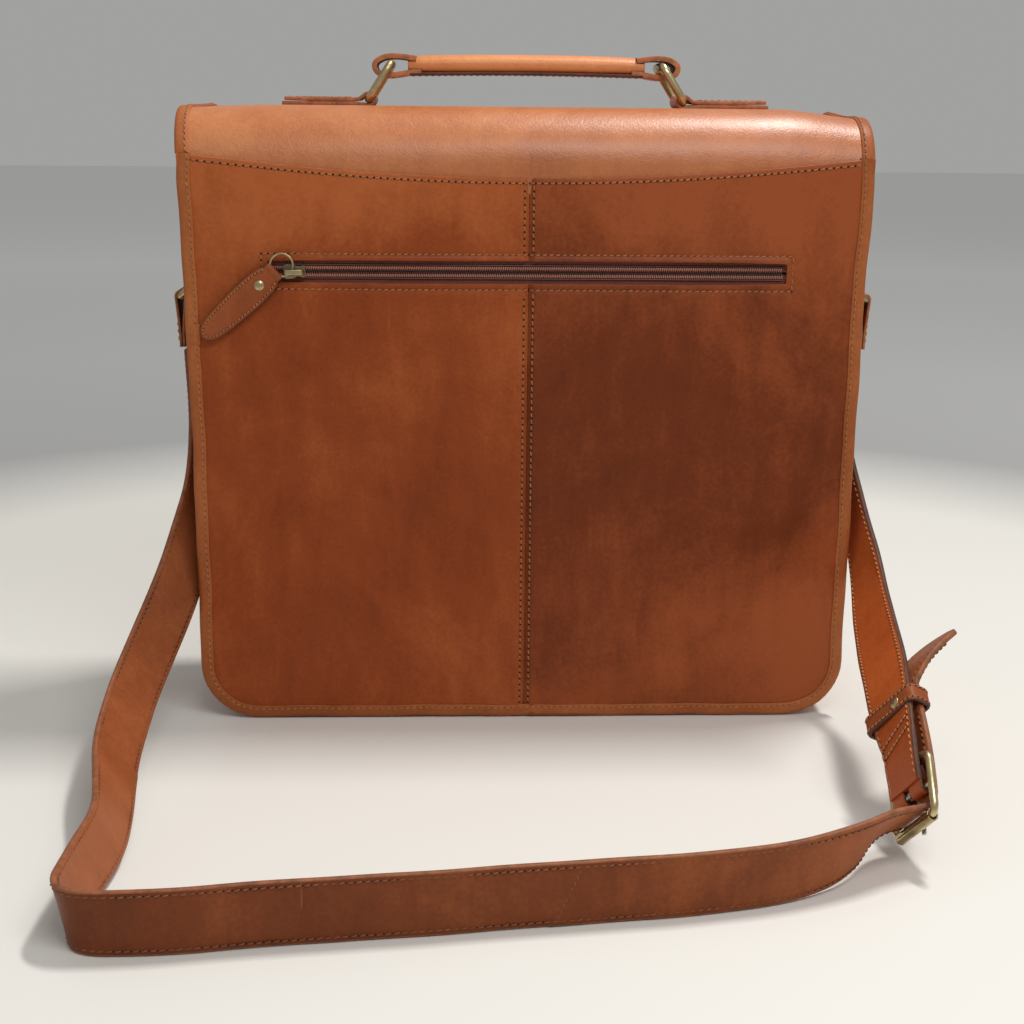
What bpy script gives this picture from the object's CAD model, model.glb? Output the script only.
import math

import bmesh
import bpy
import numpy as np
from mathutils import Matrix, Vector

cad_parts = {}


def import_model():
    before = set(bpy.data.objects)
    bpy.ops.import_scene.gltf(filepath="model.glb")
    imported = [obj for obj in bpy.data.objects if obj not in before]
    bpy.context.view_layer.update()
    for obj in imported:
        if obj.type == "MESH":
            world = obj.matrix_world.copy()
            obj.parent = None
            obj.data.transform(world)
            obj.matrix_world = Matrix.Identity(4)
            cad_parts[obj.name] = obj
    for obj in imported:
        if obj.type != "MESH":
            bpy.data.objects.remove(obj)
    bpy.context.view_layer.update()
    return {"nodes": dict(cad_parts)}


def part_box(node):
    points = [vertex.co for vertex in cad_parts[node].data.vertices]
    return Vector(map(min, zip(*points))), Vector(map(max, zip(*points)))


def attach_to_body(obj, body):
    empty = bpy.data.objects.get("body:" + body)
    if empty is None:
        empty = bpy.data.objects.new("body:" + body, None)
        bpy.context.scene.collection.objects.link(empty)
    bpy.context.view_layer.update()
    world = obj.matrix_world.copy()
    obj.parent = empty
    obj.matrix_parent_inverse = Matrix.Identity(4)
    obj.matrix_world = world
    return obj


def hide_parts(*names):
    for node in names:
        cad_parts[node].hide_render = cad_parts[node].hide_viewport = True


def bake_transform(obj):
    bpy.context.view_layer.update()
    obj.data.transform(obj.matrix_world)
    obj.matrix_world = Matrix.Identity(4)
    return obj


# A leather satchel seen from its back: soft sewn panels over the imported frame, bound and stitched edges,
# a wrap-over flap, a carry handle, a zip pocket and a buckled shoulder strap.
# Shapes are worked out in millimetres in the frame's own axes and become metres as each mesh is made.

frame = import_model()
MM = 0.001


# ---------------------------------------------------------------- places taken from the frame
def span(node):
    """Lowest and highest corner of a CAD node, in millimetres."""
    low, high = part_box(node)
    return np.array(low) / MM, np.array(high) / MM


HALF = span("back_binding")[1][0]
BACK_TOP = span("back_binding")[1][2] + 3.0
BACK_FACE = span("back_panel_left")[0][1]
FRONT_FACE = span("front_panel")[1][1]
FRONT_TOP = span("front_panel")[1][2]
GUSSET_TOP = span("gusset_left")[1][2]
GUSSET_SPLIT = span("gusset_left")[0][2]
FLAP_TOP = span("flap_top_panel")[1][2]
FLAP_FACE = span("flap_front_panel")[1][1]
FLAP_BOTTOM = span("flap_front_panel")[0][2]
CORNER = 36.0
LEATHER = 2.0
LIP = 1.2
BAND = 8.0
BACK_DIP = 13.0
SHOULDER_BACK = 36.0
SHOULDER_FRONT = 18.0
ZIP_Z = 277.0
ZIP_HALF = 152.0
ZIP_OPEN = 6.75
STITCH = 3.9
THREAD = 0.42


# ---------------------------------------------------------------- meshes
class Shape:
    """Closed shells gathered in millimetres, which become one mesh."""

    def __init__(self):
        self.points = []
        self.faces = []
        self.slots = []
        self.count = 0

    def add(self, points, faces, slots=0):
        points = np.asarray(points, float).reshape(-1, 3)
        self.points.append(points)
        self.faces += [tuple(int(i) + self.count for i in face) for face in faces]
        self.slots += list(slots) if hasattr(slots, "__len__") else [slots] * len(faces)
        self.count += len(points)
        return self

    def sheet(self, points, thickness, keep=None, flip=False, slot=0, edge=1):
        """Leather or cloth: the grid is its outer face, and its inner face lies thickness behind."""
        points, faces, rim = thick_sheet(points, thickness, keep, flip)
        return self.add(points, faces, [slot] * (len(faces) - rim) + [edge] * rim)

    def tube(self, rings, closed=False, slots=0):
        """A skin round a row of equal rings; slots may give one material for each side of the ring."""
        rings = np.asarray(rings, float)
        count, around = rings.shape[:2]
        index = np.arange(count * around).reshape(count, around)
        beside = np.roll(index, -1, axis=1)
        after = np.roll(index, -1, axis=0)
        beside_after = np.roll(beside, -1, axis=0)
        quads = np.stack([index, beside, beside_after, after], -1)
        if not closed:
            quads = quads[:-1]
        sides = list(slots) if hasattr(slots, "__len__") else [slots] * around
        faces = [tuple(face) for face in quads.reshape(-1, 4)]
        face_slots = sides * len(quads)
        if not closed:
            faces += [tuple(index[0][::-1]), tuple(index[-1])]
            face_slots += [max(sides)] * 2
        return self.add(rings, faces, face_slots)


def grid_quads(rows, cols):
    index = np.arange(rows * cols).reshape(rows, cols)
    return np.stack([index[:-1, :-1], index[1:, :-1], index[1:, 1:], index[:-1, 1:]], -1).reshape(-1, 4)


def vertex_normals(points, quads):
    a, b, c, d = (points[quads[:, k]] for k in range(4))
    face = np.cross(c - a, d - b)
    total = np.zeros_like(points)
    for k in range(4):
        np.add.at(total, quads[:, k], face)
    return total / np.maximum(np.linalg.norm(total, axis=1, keepdims=True), 1e-9)


def thick_sheet(points, thickness, keep=None, flip=False):
    """Points, faces and the number of rim faces of a grid given thickness; keep drops cells for holes."""
    rows, cols = points.shape[:2]
    quads = grid_quads(rows, cols)
    if keep is not None:
        quads = quads[keep.reshape(-1)]
    if flip:
        quads = quads[:, ::-1]
    outer = points.reshape(-1, 3)
    inner = outer - vertex_normals(outer, quads) * thickness
    edges = np.concatenate([quads[:, [k, (k + 1) % 4]] for k in range(4)])
    _, first, counts = np.unique(np.sort(edges, axis=1), axis=0, return_index=True, return_counts=True)
    rim = edges[first[counts == 1]]
    shift = len(outer)
    sides = np.stack([rim[:, 1], rim[:, 0], rim[:, 0] + shift, rim[:, 1] + shift], 1)
    faces = np.concatenate([quads, quads[:, ::-1] + shift, sides])
    used, renumbered = np.unique(faces, return_inverse=True)
    return np.concatenate([outer, inner])[used], renumbered.reshape(faces.shape), len(sides)


def bake(made):
    """Make the modifiers' result the piece's own mesh."""
    graph = bpy.context.evaluated_depsgraph_get()
    result = bpy.data.meshes.new_from_object(made.evaluated_get(graph))
    made.modifiers.clear()
    made.data = result


def round_edges(made, width, segments=2, angle=50.0):
    modifier = made.modifiers.new("rounded", "BEVEL")
    modifier.width = width * MM
    modifier.segments = segments
    modifier.limit_method = "ANGLE"
    modifier.angle_limit = math.radians(angle)
    bake(made)


def shouldered(points):
    """Points moved sideways, because the bag is wider at its shoulders, and most of all on the left."""
    x, y, z = points.T
    left = np.interp(z, [170, 250, 280, 310, 337, 370], [0, 1.3, 2.2, 2.7, 3.3, 5.3])
    right = np.interp(z, [250, 280, 310, 337, 370], [0, 0.6, 1.7, 2.1, 2.5])
    edge = np.clip((np.abs(x) / HALF - 0.78) / 0.18, 0, 1)
    back = np.clip((45 - y) / 60, 0, 1)
    moved = points.copy()
    moved[:, 0] += np.where(x < 0, -left, right) * edge * edge * (3 - 2 * edge) * back
    return moved


def make_piece(name, shape, materials, round_by=0.0, crease=42.0, subdivide=0):
    """A named piece from a Shape, with smooth shading and outward faces."""
    mesh = bpy.data.meshes.new(name)
    points = np.concatenate(shape.points)
    if name.startswith(("back_", "flap_")):
        points = shouldered(points)
    mesh.from_pydata((points * MM).tolist(), [], shape.faces)
    for material in materials:
        mesh.materials.append(material)
    mesh.polygons.foreach_set("material_index", [min(s, len(materials) - 1) for s in shape.slots])
    work = bmesh.new()
    work.from_mesh(mesh)
    bmesh.ops.recalc_face_normals(work, faces=work.faces)
    work.to_mesh(mesh)
    work.free()
    made = bpy.data.objects.new(name, mesh)
    bpy.context.scene.collection.objects.link(made)
    if subdivide:
        modifier = made.modifiers.new("smooth", "SUBSURF")
        modifier.levels = subdivide
        modifier.render_levels = subdivide
        bake(made)
    if round_by:
        round_edges(made, round_by)
    made.data.polygons.foreach_set("use_smooth", [True] * len(made.data.polygons))
    made.data.set_sharp_from_angle(angle=math.radians(crease))
    made.data.update()
    return made


# ---------------------------------------------------------------- lines and sections
def unit(v):
    v = np.asarray(v, float)
    return v / np.maximum(np.linalg.norm(v, axis=-1, keepdims=True), 1e-9)


def tangents(points):
    return unit(np.gradient(np.asarray(points, float), axis=0))


def resampled(points, step, *others):
    """Points at equal steps along a line, and the values of other lines at the same places."""
    points = np.asarray(points, float)
    along = np.concatenate([[0], np.cumsum(np.linalg.norm(np.diff(points, axis=0), axis=1))])
    count = max(2, int(round(along[-1] / step)) + 1)
    at = np.linspace(0, along[-1], count)
    lines = [np.stack([np.interp(at, along, np.asarray(v, float)[:, k]) for k in range(3)], 1)
             for v in (points, *others)]
    return lines if others else lines[0]


def smooth_line(points, steps=12):
    """Points read from the NURBS line of a route's points."""
    curve = bpy.data.curves.new("route", "CURVE")
    curve.dimensions = "3D"
    spline = curve.splines.new("NURBS")
    spline.points.add(len(points) - 1)
    for place, point in zip(spline.points, points):
        place.co = (*point, 1.0)
    spline.order_u = 3
    spline.use_endpoint_u = True
    spline.resolution_u = steps
    holder = bpy.data.objects.new("route", curve)
    bpy.context.scene.collection.objects.link(holder)
    bpy.context.view_layer.update()
    mesh = bpy.data.meshes.new_from_object(holder)
    line = np.array([v.co for v in mesh.vertices], float)
    bpy.data.objects.remove(holder)
    return line


def circle(radius, sides=12):
    turn = np.arange(sides) * 2 * math.pi / sides
    return np.stack([np.cos(turn), np.sin(turn)], 1) * radius


def strip_section(width, thickness, corner=0.6, across=4):
    """Section of a flat strip with rounded edges, and which of its sides are cut edges."""
    half, rise = width / 2, thickness / 2
    corner = min(corner, rise * 0.98)
    flat = np.linspace(-(half - corner), half - corner, across + 1)
    turn = np.linspace(0, math.pi / 2, 3)[1:-1]
    points = []
    for sign in (1, -1):
        points += [(sign * a, sign * rise) for a in flat]
        points += [(sign * (half - corner + corner * math.sin(t)),
                    sign * (rise - corner + corner * math.cos(t))) for t in turn]
        points += [(sign * half, sign * (rise - corner)), (sign * half, -sign * (rise - corner))]
        points += [(sign * (half - corner + corner * math.cos(t)),
                    -sign * (rise - corner + corner * math.sin(t))) for t in turn]
    cut = []
    for k in range(len(points)):
        here, there = points[k], points[(k + 1) % len(points)]
        on_face = abs(abs(here[1]) - rise) < 1e-6 and abs(here[1] - there[1]) < 1e-6
        cut.append(0 if on_face else 1)
    return np.array(points), cut


def channel_section(width, core, wall, steps=8):
    """Section of a strip folded over an edge: distance in from the edge, and height."""
    inner, outer = core / 2, core / 2 + wall
    turn = np.linspace(math.pi / 2, -math.pi / 2, steps + 1)
    points = [(width, inner), (width, outer - 0.35), (width - 0.5, outer), ((width + outer) / 2, outer + 0.2)]
    points += [(outer - outer * math.cos(t), outer * math.sin(t)) for t in turn]
    points += [((width + outer) / 2, -outer - 0.2), (width - 0.5, -outer), (width, -outer + 0.35),
               (width, -inner)]
    points += [(wall, -inner), (wall, inner)]
    return np.array(points)


def rings_along(section, centres, across, up):
    """A section's points set up at each place of a line."""
    return (np.asarray(centres)[:, None, :] + section[None, :, 0:1] * np.asarray(across)[:, None, :]
            + section[None, :, 1:2] * np.asarray(up)[:, None, :])


def planar_wire(shape, points, plane_normal, radius, closed=True, sides=12, slot=0):
    """Round wire along a line that lies in one plane."""
    points = np.asarray(points, float)
    if closed:
        along = unit(np.roll(points, -1, axis=0) - np.roll(points, 1, axis=0))
    else:
        along = tangents(points)
    normal = np.broadcast_to(unit(plane_normal), points.shape)
    shape.tube(rings_along(circle(radius, sides), points, normal, np.cross(along, normal)), closed, slot)


def rounded_loop(half_a, half_b, radius, steps=5):
    """Corners of a rectangle turned in quarter circles, as points (a, b)."""
    points = []
    for k, (a, b) in enumerate(((1, 1), (-1, 1), (-1, -1), (1, -1))):
        for t in np.linspace(0, math.pi / 2, steps):
            turn = k * math.pi / 2 + t
            points.append((a * (half_a - radius) + radius * math.cos(turn),
                           b * (half_b - radius) + radius * math.sin(turn)))
    return np.array(points)


def folded_strip(shape, path, width_axis, width, thickness, slots=(0, 1)):
    """A flat strip that follows a bent path; width_axis is the direction of its width."""
    path = np.asarray(path, float)
    along = tangents(path)
    wide = np.broadcast_to(unit(width_axis), path.shape)
    section, cut = strip_section(width, thickness)
    shape.tube(rings_along(section, path, wide, np.cross(along, wide)), False, [slots[c] for c in cut])


def arc(centre, radius, start, end, steps=10):
    """Points (a, b) on a circle; angles in degrees."""
    turn = np.radians(np.linspace(start, end, steps))
    return np.stack([centre[0] + radius * np.cos(turn), centre[1] + radius * np.sin(turn)], 1)


def in_xz(points, y):
    points = np.asarray(points, float)
    return np.stack([points[:, 0], np.full(len(points), float(y)), points[:, 1]], 1)


# ---------------------------------------------------------------- stitches
class Stitching:
    """Thread and needle holes of one piece's seams."""

    def __init__(self, colour="thread_tan", hole=1.0):
        self.thread = Shape()
        self.holes = Shape()
        self.turn = circle(1.0, 6)
        self.colour = colour
        self.hole = hole

    def row(self, points, normals, pitch=STITCH, lift=0.1, slant=0.25):
        """Stitches end to end along a line on the leather's face."""
        points, normals = resampled(points, pitch, normals)
        normals = unit(normals)
        for start, end, up in zip(points[:-1], points[1:], unit(normals[:-1] + normals[1:])):
            ahead = unit(end - start)
            side = np.cross(up, ahead)
            reach = pitch * 0.35
            middle = (start + end) / 2 + up * lift
            rings = []
            for share, rise, size in ((-1.0, -0.25, 0.5), (-0.75, 0.1, 0.95), (0.0, 0.25, 1.1),
                                      (0.75, 0.1, 0.95), (1.0, -0.25, 0.5)):
                spot = middle + ahead * share * reach + side * share * slant + up * rise
                rings.append(spot + (self.turn[:, :1] * side + self.turn[:, 1:] * up) * THREAD * size)
            self.thread.tube(rings)
            hole = start + up * (lift - 0.12)
            ring = (self.turn[:, :1] * side * 0.72 + self.turn[:, 1:] * ahead * 0.66) * self.hole
            self.holes.tube([hole + ring - up * 0.3, hole + ring + up * 0.14])

    def piece(self, name, body):
        """One object for the thread and one for the holes, riding with the leather."""
        made = [make_piece(f"{name}_stitches", self.thread, [THREADS[self.colour]]),
                make_piece(f"{name}_needle_holes", self.holes, [HOLE_DARK])]
        for one in made:
            attach(one, body)
        return made


def attach(made, body):
    """Ride on a body, or bend between two of them."""
    if isinstance(body, str):
        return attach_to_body(made, body)
    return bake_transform(made)


# ---------------------------------------------------------------- materials
def node(tree, kind, props=None, **inputs):
    made = tree.nodes.new(kind)
    for key, value in (props or {}).items():
        setattr(made, key, value)
    for key, value in inputs.items():
        connect(tree, made.inputs[key.replace("_", " ")], value)
    return made


def connect(tree, socket, value):
    if isinstance(value, bpy.types.NodeSocket):
        tree.links.new(value, socket)
    else:
        socket.default_value = value


def blank(name):
    """A new material, its node tree and its shader."""
    material = bpy.data.materials.new(name)
    material.use_nodes = True
    return material, material.node_tree, material.node_tree.nodes["Principled BSDF"]


def colour(rgb):
    return (*rgb, 1.0)


def mixed(tree, share, first, second, way="MIX"):
    made = tree.nodes.new("ShaderNodeMix")
    made.data_type = "RGBA"
    made.blend_type = way
    for index, value in ((0, share), (6, first), (7, second)):
        connect(tree, made.inputs[index], value)
    return made.outputs[2]


def maths(tree, way, *values):
    made = tree.nodes.new("ShaderNodeMath")
    made.operation = way
    for socket, value in zip(made.inputs, values):
        connect(tree, socket, value)
    return made.outputs[0]


def ranged(tree, value, low, high, to_low=0.0, to_high=1.0):
    """A value mapped smoothly from one range to another and held at its ends."""
    made = node(tree, "ShaderNodeMapRange", {"interpolation_type": "SMOOTHSTEP"}, Value=value)
    for name, number in (("From Min", low), ("From Max", high), ("To Min", to_low), ("To Max", to_high)):
        made.inputs[name].default_value = number
    return made.outputs[0]


def ramp(tree, share, stops):
    made = node(tree, "ShaderNodeValToRGB", Fac=share)
    points = made.color_ramp.elements
    while len(points) < len(stops):
        points.new(0.5)
    for point, (place, rgb) in zip(points, stops):
        point.position = place
        point.color = colour(rgb)
    return made.outputs[0]


def coordinates(tree, scale=(1, 1, 1), turn=(0, 0, 0)):
    """Object coordinates in metres, stretched and turned."""
    source = tree.nodes.new("ShaderNodeTexCoord").outputs["Object"]
    return node(tree, "ShaderNodeMapping", Vector=source, Scale=scale, Rotation=turn).outputs[0]


def noise(tree, where, scale, detail=4.0, rough=0.55, twist=0.0):
    made = node(tree, "ShaderNodeTexNoise", Vector=where, Scale=scale, Detail=detail, Roughness=rough,
                Distortion=twist)
    return made.outputs[0]


def place_along(tree, axis):
    """Object coordinate X, Y or Z."""
    source = tree.nodes.new("ShaderNodeTexCoord").outputs["Object"]
    return node(tree, "ShaderNodeSeparateXYZ", Vector=source).outputs[axis]


def add_bump(tree, shader, *layers):
    """Stack bump layers, each a height, its strength and its depth in metres."""
    below = None
    for height, strength, depth in layers:
        made = node(tree, "ShaderNodeBump", Height=height, Strength=strength, Distance=depth)
        if below is not None:
            tree.links.new(below, made.inputs["Normal"])
        below = made.outputs[0]
    tree.links.new(below, shader.inputs["Normal"])


def leather(name, deep, mid, pale, rough=(0.38, 0.58), lighter=(), grain=0.25, scuffs=0.30, coat=0.02,
            gloss=0.17):
    """Waxed leather: clouded tone, streaks, fine grain, scuffs and pores.

    Each entry of lighter is an axis, the range over which the tone rises, and by how much.
    """
    material, tree, shader = blank(name)
    where = coordinates(tree)
    cloud = noise(tree, where, 9.0, 5.0, 0.6, 0.6)
    streak = noise(tree, coordinates(tree, (3.0, 3.0, 0.7), (0.1, 0.35, 0.2)), 26.0, 5.0, 0.6, 0.4)
    speckle = noise(tree, where, 420.0, 3.0, 0.6)
    tone = maths(tree, "ADD", maths(tree, "MULTIPLY", cloud, 0.74), maths(tree, "MULTIPLY", streak, 0.26))
    tone = maths(tree, "ADD", tone, maths(tree, "MULTIPLY", maths(tree, "SUBTRACT", speckle, 0.5), 0.22))
    for axis, low, high, amount in lighter:
        tone = maths(tree, "ADD", tone, ranged(tree, place_along(tree, axis), low, high, 0.0, amount))
    base = ramp(tree, tone, [(0.30, deep), (0.52, mid), (0.78, pale)])
    scratch_at = coordinates(tree, (26.0, 26.0, 2.6), (0.5, 0.7, 0.15))
    scratch = ranged(tree, noise(tree, scratch_at, 5.0, 6.0, 0.7, 1.2), 0.66, 0.74)
    rub = ranged(tree, noise(tree, where, 17.0, 8.0, 0.72, 0.3), 0.62, 0.78)
    worn = maths(tree, "MULTIPLY", maths(tree, "MAXIMUM", scratch, rub), scuffs)
    base = mixed(tree, worn, base, colour([min(1.0, c * 1.25 + 0.02) for c in pale]))
    pore = node(tree, "ShaderNodeTexVoronoi", {"feature": "F1"}, Vector=where,
                Scale=760.0).outputs["Distance"]
    base = mixed(tree, ranged(tree, pore, 0.05, 0.30, 0.16, 0.0), base, colour([c * 0.35 for c in deep]))
    tree.links.new(base, shader.inputs["Base Color"])
    sheen = maths(tree, "ADD", maths(tree, "MULTIPLY", cloud, 0.7), maths(tree, "MULTIPLY", speckle, 0.3))
    spread = ranged(tree, sheen, 0.3, 0.75, rough[0], rough[1])
    tree.links.new(maths(tree, "ADD", spread, maths(tree, "MULTIPLY", worn, 0.2)), shader.inputs["Roughness"])
    shader.inputs["Specular IOR Level"].default_value = gloss
    shader.inputs["Coat Weight"].default_value = coat
    shader.inputs["Coat Roughness"].default_value = 0.34
    creases = noise(tree, coordinates(tree, (1.0, 1.0, 1.6)), 95.0, 6.0, 0.65, 0.8)
    add_bump(tree, shader, (cloud, 0.25, 0.004), (creases, grain, 0.0009), (pore, grain, 0.00035),
             (speckle, grain * 0.8, 0.00025))
    return material


def cut_edge(name, rgb):
    """The burnished cut edge of leather, with faint layers."""
    material, tree, shader = blank(name)
    where = coordinates(tree)
    base = ramp(tree, noise(tree, where, 160.0, 5.0, 0.7),
                [(0.3, [c * 0.55 for c in rgb]), (0.7, [min(1.0, c * 1.5) for c in rgb])])
    tree.links.new(base, shader.inputs["Base Color"])
    shader.inputs["Roughness"].default_value = 0.6
    add_bump(tree, shader, (noise(tree, where, 900.0, 4.0, 0.7), 0.35, 0.0004))
    return material


def thread(name, rgb):
    """Twisted waxed thread."""
    material, tree, shader = blank(name)
    where = coordinates(tree)
    base = ramp(tree, noise(tree, where, 240.0, 3.0), [(0.3, [c * 0.6 for c in rgb]), (0.7, rgb)])
    tree.links.new(base, shader.inputs["Base Color"])
    shader.inputs["Roughness"].default_value = 0.62
    twist = node(tree, "ShaderNodeTexWave", {"wave_type": "BANDS", "bands_direction": "DIAGONAL"},
                 Vector=where, Scale=900.0, Distortion=1.0).outputs["Fac"]
    add_bump(tree, shader, (twist, 0.5, 0.0002))
    return material


def aged_metal(name, bright, dull, rough=(0.22, 0.48), metallic=0.95):
    """Cast metal with a worn patina: brighter where it is rubbed."""
    material, tree, shader = blank(name)
    where = coordinates(tree)
    patina = noise(tree, where, 60.0, 6.0, 0.65, 0.4)
    tree.links.new(ramp(tree, patina, [(0.34, dull), (0.62, bright)]), shader.inputs["Base Color"])
    tree.links.new(ranged(tree, patina, 0.3, 0.7, rough[1], rough[0]), shader.inputs["Roughness"])
    shader.inputs["Metallic"].default_value = metallic
    add_bump(tree, shader, (noise(tree, where, 900.0, 4.0, 0.6), 0.12, 0.0002), (patina, 0.1, 0.0006))
    return material


def woven(name, deep, pale, per_metre=900.0, rough=0.8, strength=0.5):
    """Plain-woven cloth: two crossed sets of yarn."""
    material, tree, shader = blank(name)
    where = coordinates(tree)
    warp = node(tree, "ShaderNodeTexWave", {"wave_type": "BANDS", "bands_direction": "X"},
                Vector=where, Scale=per_metre / 6.28, Distortion=0.4).outputs["Fac"]
    weft = node(tree, "ShaderNodeTexWave", {"wave_type": "BANDS", "bands_direction": "Z"},
                Vector=where, Scale=per_metre / 6.28, Distortion=0.4).outputs["Fac"]
    yarn = maths(tree, "MAXIMUM", warp, weft)
    shade = maths(tree, "ADD", maths(tree, "MULTIPLY", yarn, 0.45),
                  maths(tree, "MULTIPLY", noise(tree, where, 30.0, 5.0), 0.55))
    tree.links.new(ramp(tree, shade, [(0.3, deep), (0.75, pale)]), shader.inputs["Base Color"])
    shader.inputs["Roughness"].default_value = rough
    shader.inputs["Sheen Weight"].default_value = 0.25
    add_bump(tree, shader, (yarn, strength, 0.0004), (noise(tree, where, 12.0, 4.0), 0.3, 0.003))
    return material


def moulded(name, rgb, rough=0.4):
    """Moulded plastic or board with a fine texture."""
    material, tree, shader = blank(name)
    where = coordinates(tree)
    base = ramp(tree, noise(tree, where, 45.0, 4.0), [(0.3, [c * 0.8 for c in rgb]), (0.7, rgb)])
    tree.links.new(base, shader.inputs["Base Color"])
    shader.inputs["Roughness"].default_value = rough
    add_bump(tree, shader, (noise(tree, where, 1500.0, 3.0), 0.25, 0.0002))
    return material


LEATHER_LEFT = leather("leather_left", (0.19, 0.034, 0.006), (0.285, 0.056, 0.011), (0.45, 0.115, 0.029),
                       lighter=[("Z", 0.255, 0.335, 0.20), ("X", -0.05, 0.0, 0.05), ("Z", 0.16, 0.0, 0.08)])
LEATHER_RIGHT = leather("leather_right", (0.10, 0.018, 0.004), (0.175, 0.034, 0.007), (0.34, 0.078, 0.021),
                        lighter=[("Z", 0.235, 0.335, 0.26), ("X", 0.07, 0.19, 0.09), ("Z", 0.20, 0.0, 0.14)])
LEATHER_FLAP = leather("leather_flap", (0.36, 0.098, 0.027), (0.48, 0.150, 0.044), (0.62, 0.23, 0.075),
                       rough=(0.36, 0.50), coat=0.22, gloss=0.5)
LEATHER_BINDING = leather("leather_binding", (0.24, 0.060, 0.015), (0.37, 0.105, 0.030), (0.52, 0.180, 0.060))
LEATHER_STRAP = leather("leather_strap", (0.115, 0.026, 0.006), (0.20, 0.047, 0.012), (0.36, 0.100, 0.028),
                        lighter=[("X", 0.04, 0.14, 0.20)], scuffs=0.45)
LEATHER_STRAP_INSIDE = leather("leather_strap_inside", (0.19, 0.050, 0.016), (0.30, 0.082, 0.026),
                               (0.44, 0.140, 0.050), lighter=[("Y", -0.195, -0.212, 0.14)])
LEATHER_WARM = leather("leather_warm", (0.33, 0.064, 0.013), (0.45, 0.095, 0.020), (0.56, 0.145, 0.038))
LEATHER_GRIP = leather("leather_grip", (0.50, 0.15, 0.040), (0.66, 0.225, 0.066), (0.78, 0.32, 0.11),
                       gloss=0.5)
LEATHER_TAB = leather("leather_tab", (0.20, 0.047, 0.014), (0.29, 0.073, 0.022), (0.41, 0.120, 0.042))
EDGE_TAN = cut_edge("edge_tan", (0.34, 0.115, 0.045))
EDGE_ORANGE = cut_edge("edge_orange", (0.40, 0.13, 0.045))
EDGE_STRAP = cut_edge("edge_strap", (0.25, 0.078, 0.026))
EDGE_DARK = cut_edge("edge_dark", (0.085, 0.028, 0.014))
THREADS = {"thread_tan": thread("thread_tan", (0.52, 0.195, 0.062)),
           "thread_brown": thread("thread_brown", (0.29, 0.095, 0.034)),
           "thread_light": thread("thread_light", (0.62, 0.28, 0.11))}
HOLE_DARK = moulded("needle_hole", (0.022, 0.007, 0.004), 0.9)
BRASS = aged_metal("antique_brass", (0.52, 0.42, 0.22), (0.25, 0.18, 0.08))
BRASS_PALE = aged_metal("pale_brass", (0.66, 0.55, 0.32), (0.36, 0.28, 0.14))
BRASS_DARK = aged_metal("dark_brass", (0.30, 0.24, 0.13), (0.12, 0.095, 0.05))
STEEL = aged_metal("grey_steel", (0.50, 0.49, 0.46), (0.28, 0.26, 0.23))
TAPE = woven("zip_tape", (0.10, 0.021, 0.012), (0.27, 0.060, 0.033), 1500.0)
COIL = moulded("zip_coil", (0.44, 0.17, 0.105), 0.30)
COIL_DARK = moulded("zip_coil_dark", (0.085, 0.024, 0.018), 0.45)
CLOTH = woven("lining_cloth", (0.10, 0.075, 0.050), (0.21, 0.165, 0.115), 1200.0)
FELT = woven("stiffener_felt", (0.05, 0.045, 0.04), (0.10, 0.09, 0.08), 2000.0)
FILLER = moulded("filler_cord", (0.55, 0.50, 0.42), 0.8)


# ---------------------------------------------------------------- back panel
SEAM_ROW = 2.7
ZIP_ROW = 3.5
RIM = HALF - LIP


def rounded_bottom(x, half, bottom, radius):
    """Height of a rounded panel's lower edge at x."""
    past = np.clip(np.abs(x) - (half - radius), 0, radius)
    return bottom + radius - np.sqrt(np.maximum(radius ** 2 - past ** 2, 0))


def back_edge(x):
    """Height of the back panel's dipped top edge."""
    return BACK_TOP - BACK_DIP * (1 - (np.asarray(x, float) / HALF) ** 2)


def bump_at(value, centre, width):
    return np.exp(-((value - centre) / width) ** 2)


def back_relief(x, z):
    """How far the back panel stands out from its flat face."""
    side = np.abs(x) / RIM
    tall = np.clip((z - 168) / 172, -1, 1)
    inside = np.clip(1 - side ** 10, 0, 1)
    crown = 1.3 * (1 - side ** 4) * (1 - tall ** 4)
    seam = -1.5 * bump_at(x, 0, 2.0) + 0.45 * bump_at(np.abs(x), 4.6, 2.6)
    gap = np.hypot(np.maximum(np.abs(x) - ZIP_HALF, 0), np.maximum(np.abs(z - ZIP_Z) - ZIP_OPEN, 0))
    welt = 0.9 * bump_at(gap, 0.6, 1.9) - 0.55 * bump_at(gap, ZIP_ROW, 0.9) + 0.3 * bump_at(gap, 7.0, 2.5)
    far = np.hypot(1.7 * np.maximum(np.abs(x) - ZIP_HALF, 0), np.maximum(np.abs(z - ZIP_Z) - ZIP_OPEN, 0))
    welt = welt + 0.32 * bump_at(far, 15 + 1.5 * np.sin(x / 23), 1.3) * np.clip((x - 30) / 50, 0, 1)
    waves = (0.40 * np.sin(x / 27 + z / 63) + 0.28 * np.sin(z / 33 - x / 71 + 1.3)
             + 0.20 * np.sin(x / 14.5 - z / 41 + 0.6))
    pulls = (0.75 * bump_at(z - 0.16 * (x + 190), ZIP_Z + 3, 3.2) * bump_at(x, -176, 15)
             + 0.5 * bump_at(z + 0.22 * (x + 190), ZIP_Z - 4, 3.0) * bump_at(x, -176, 14)
             + 0.4 * bump_at(z - 0.1 * (x - 180), ZIP_Z - 1, 4.0) * bump_at(x, 172, 13))
    pressed = np.exp(-((x + 147) ** 2 + (z - 279) ** 2) / 15.0 ** 2)
    return ((crown + seam + welt + (waves * (1 - side ** 4) + pulls) * inside) * (1 - 0.9 * pressed)
            - 0.5 * pressed)


def back_point(x, z, out=0.0):
    x, z = np.broadcast_arrays(np.asarray(x, float), np.asarray(z, float))
    return np.stack([x, BACK_FACE - back_relief(x, z) - out, z], -1)


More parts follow.
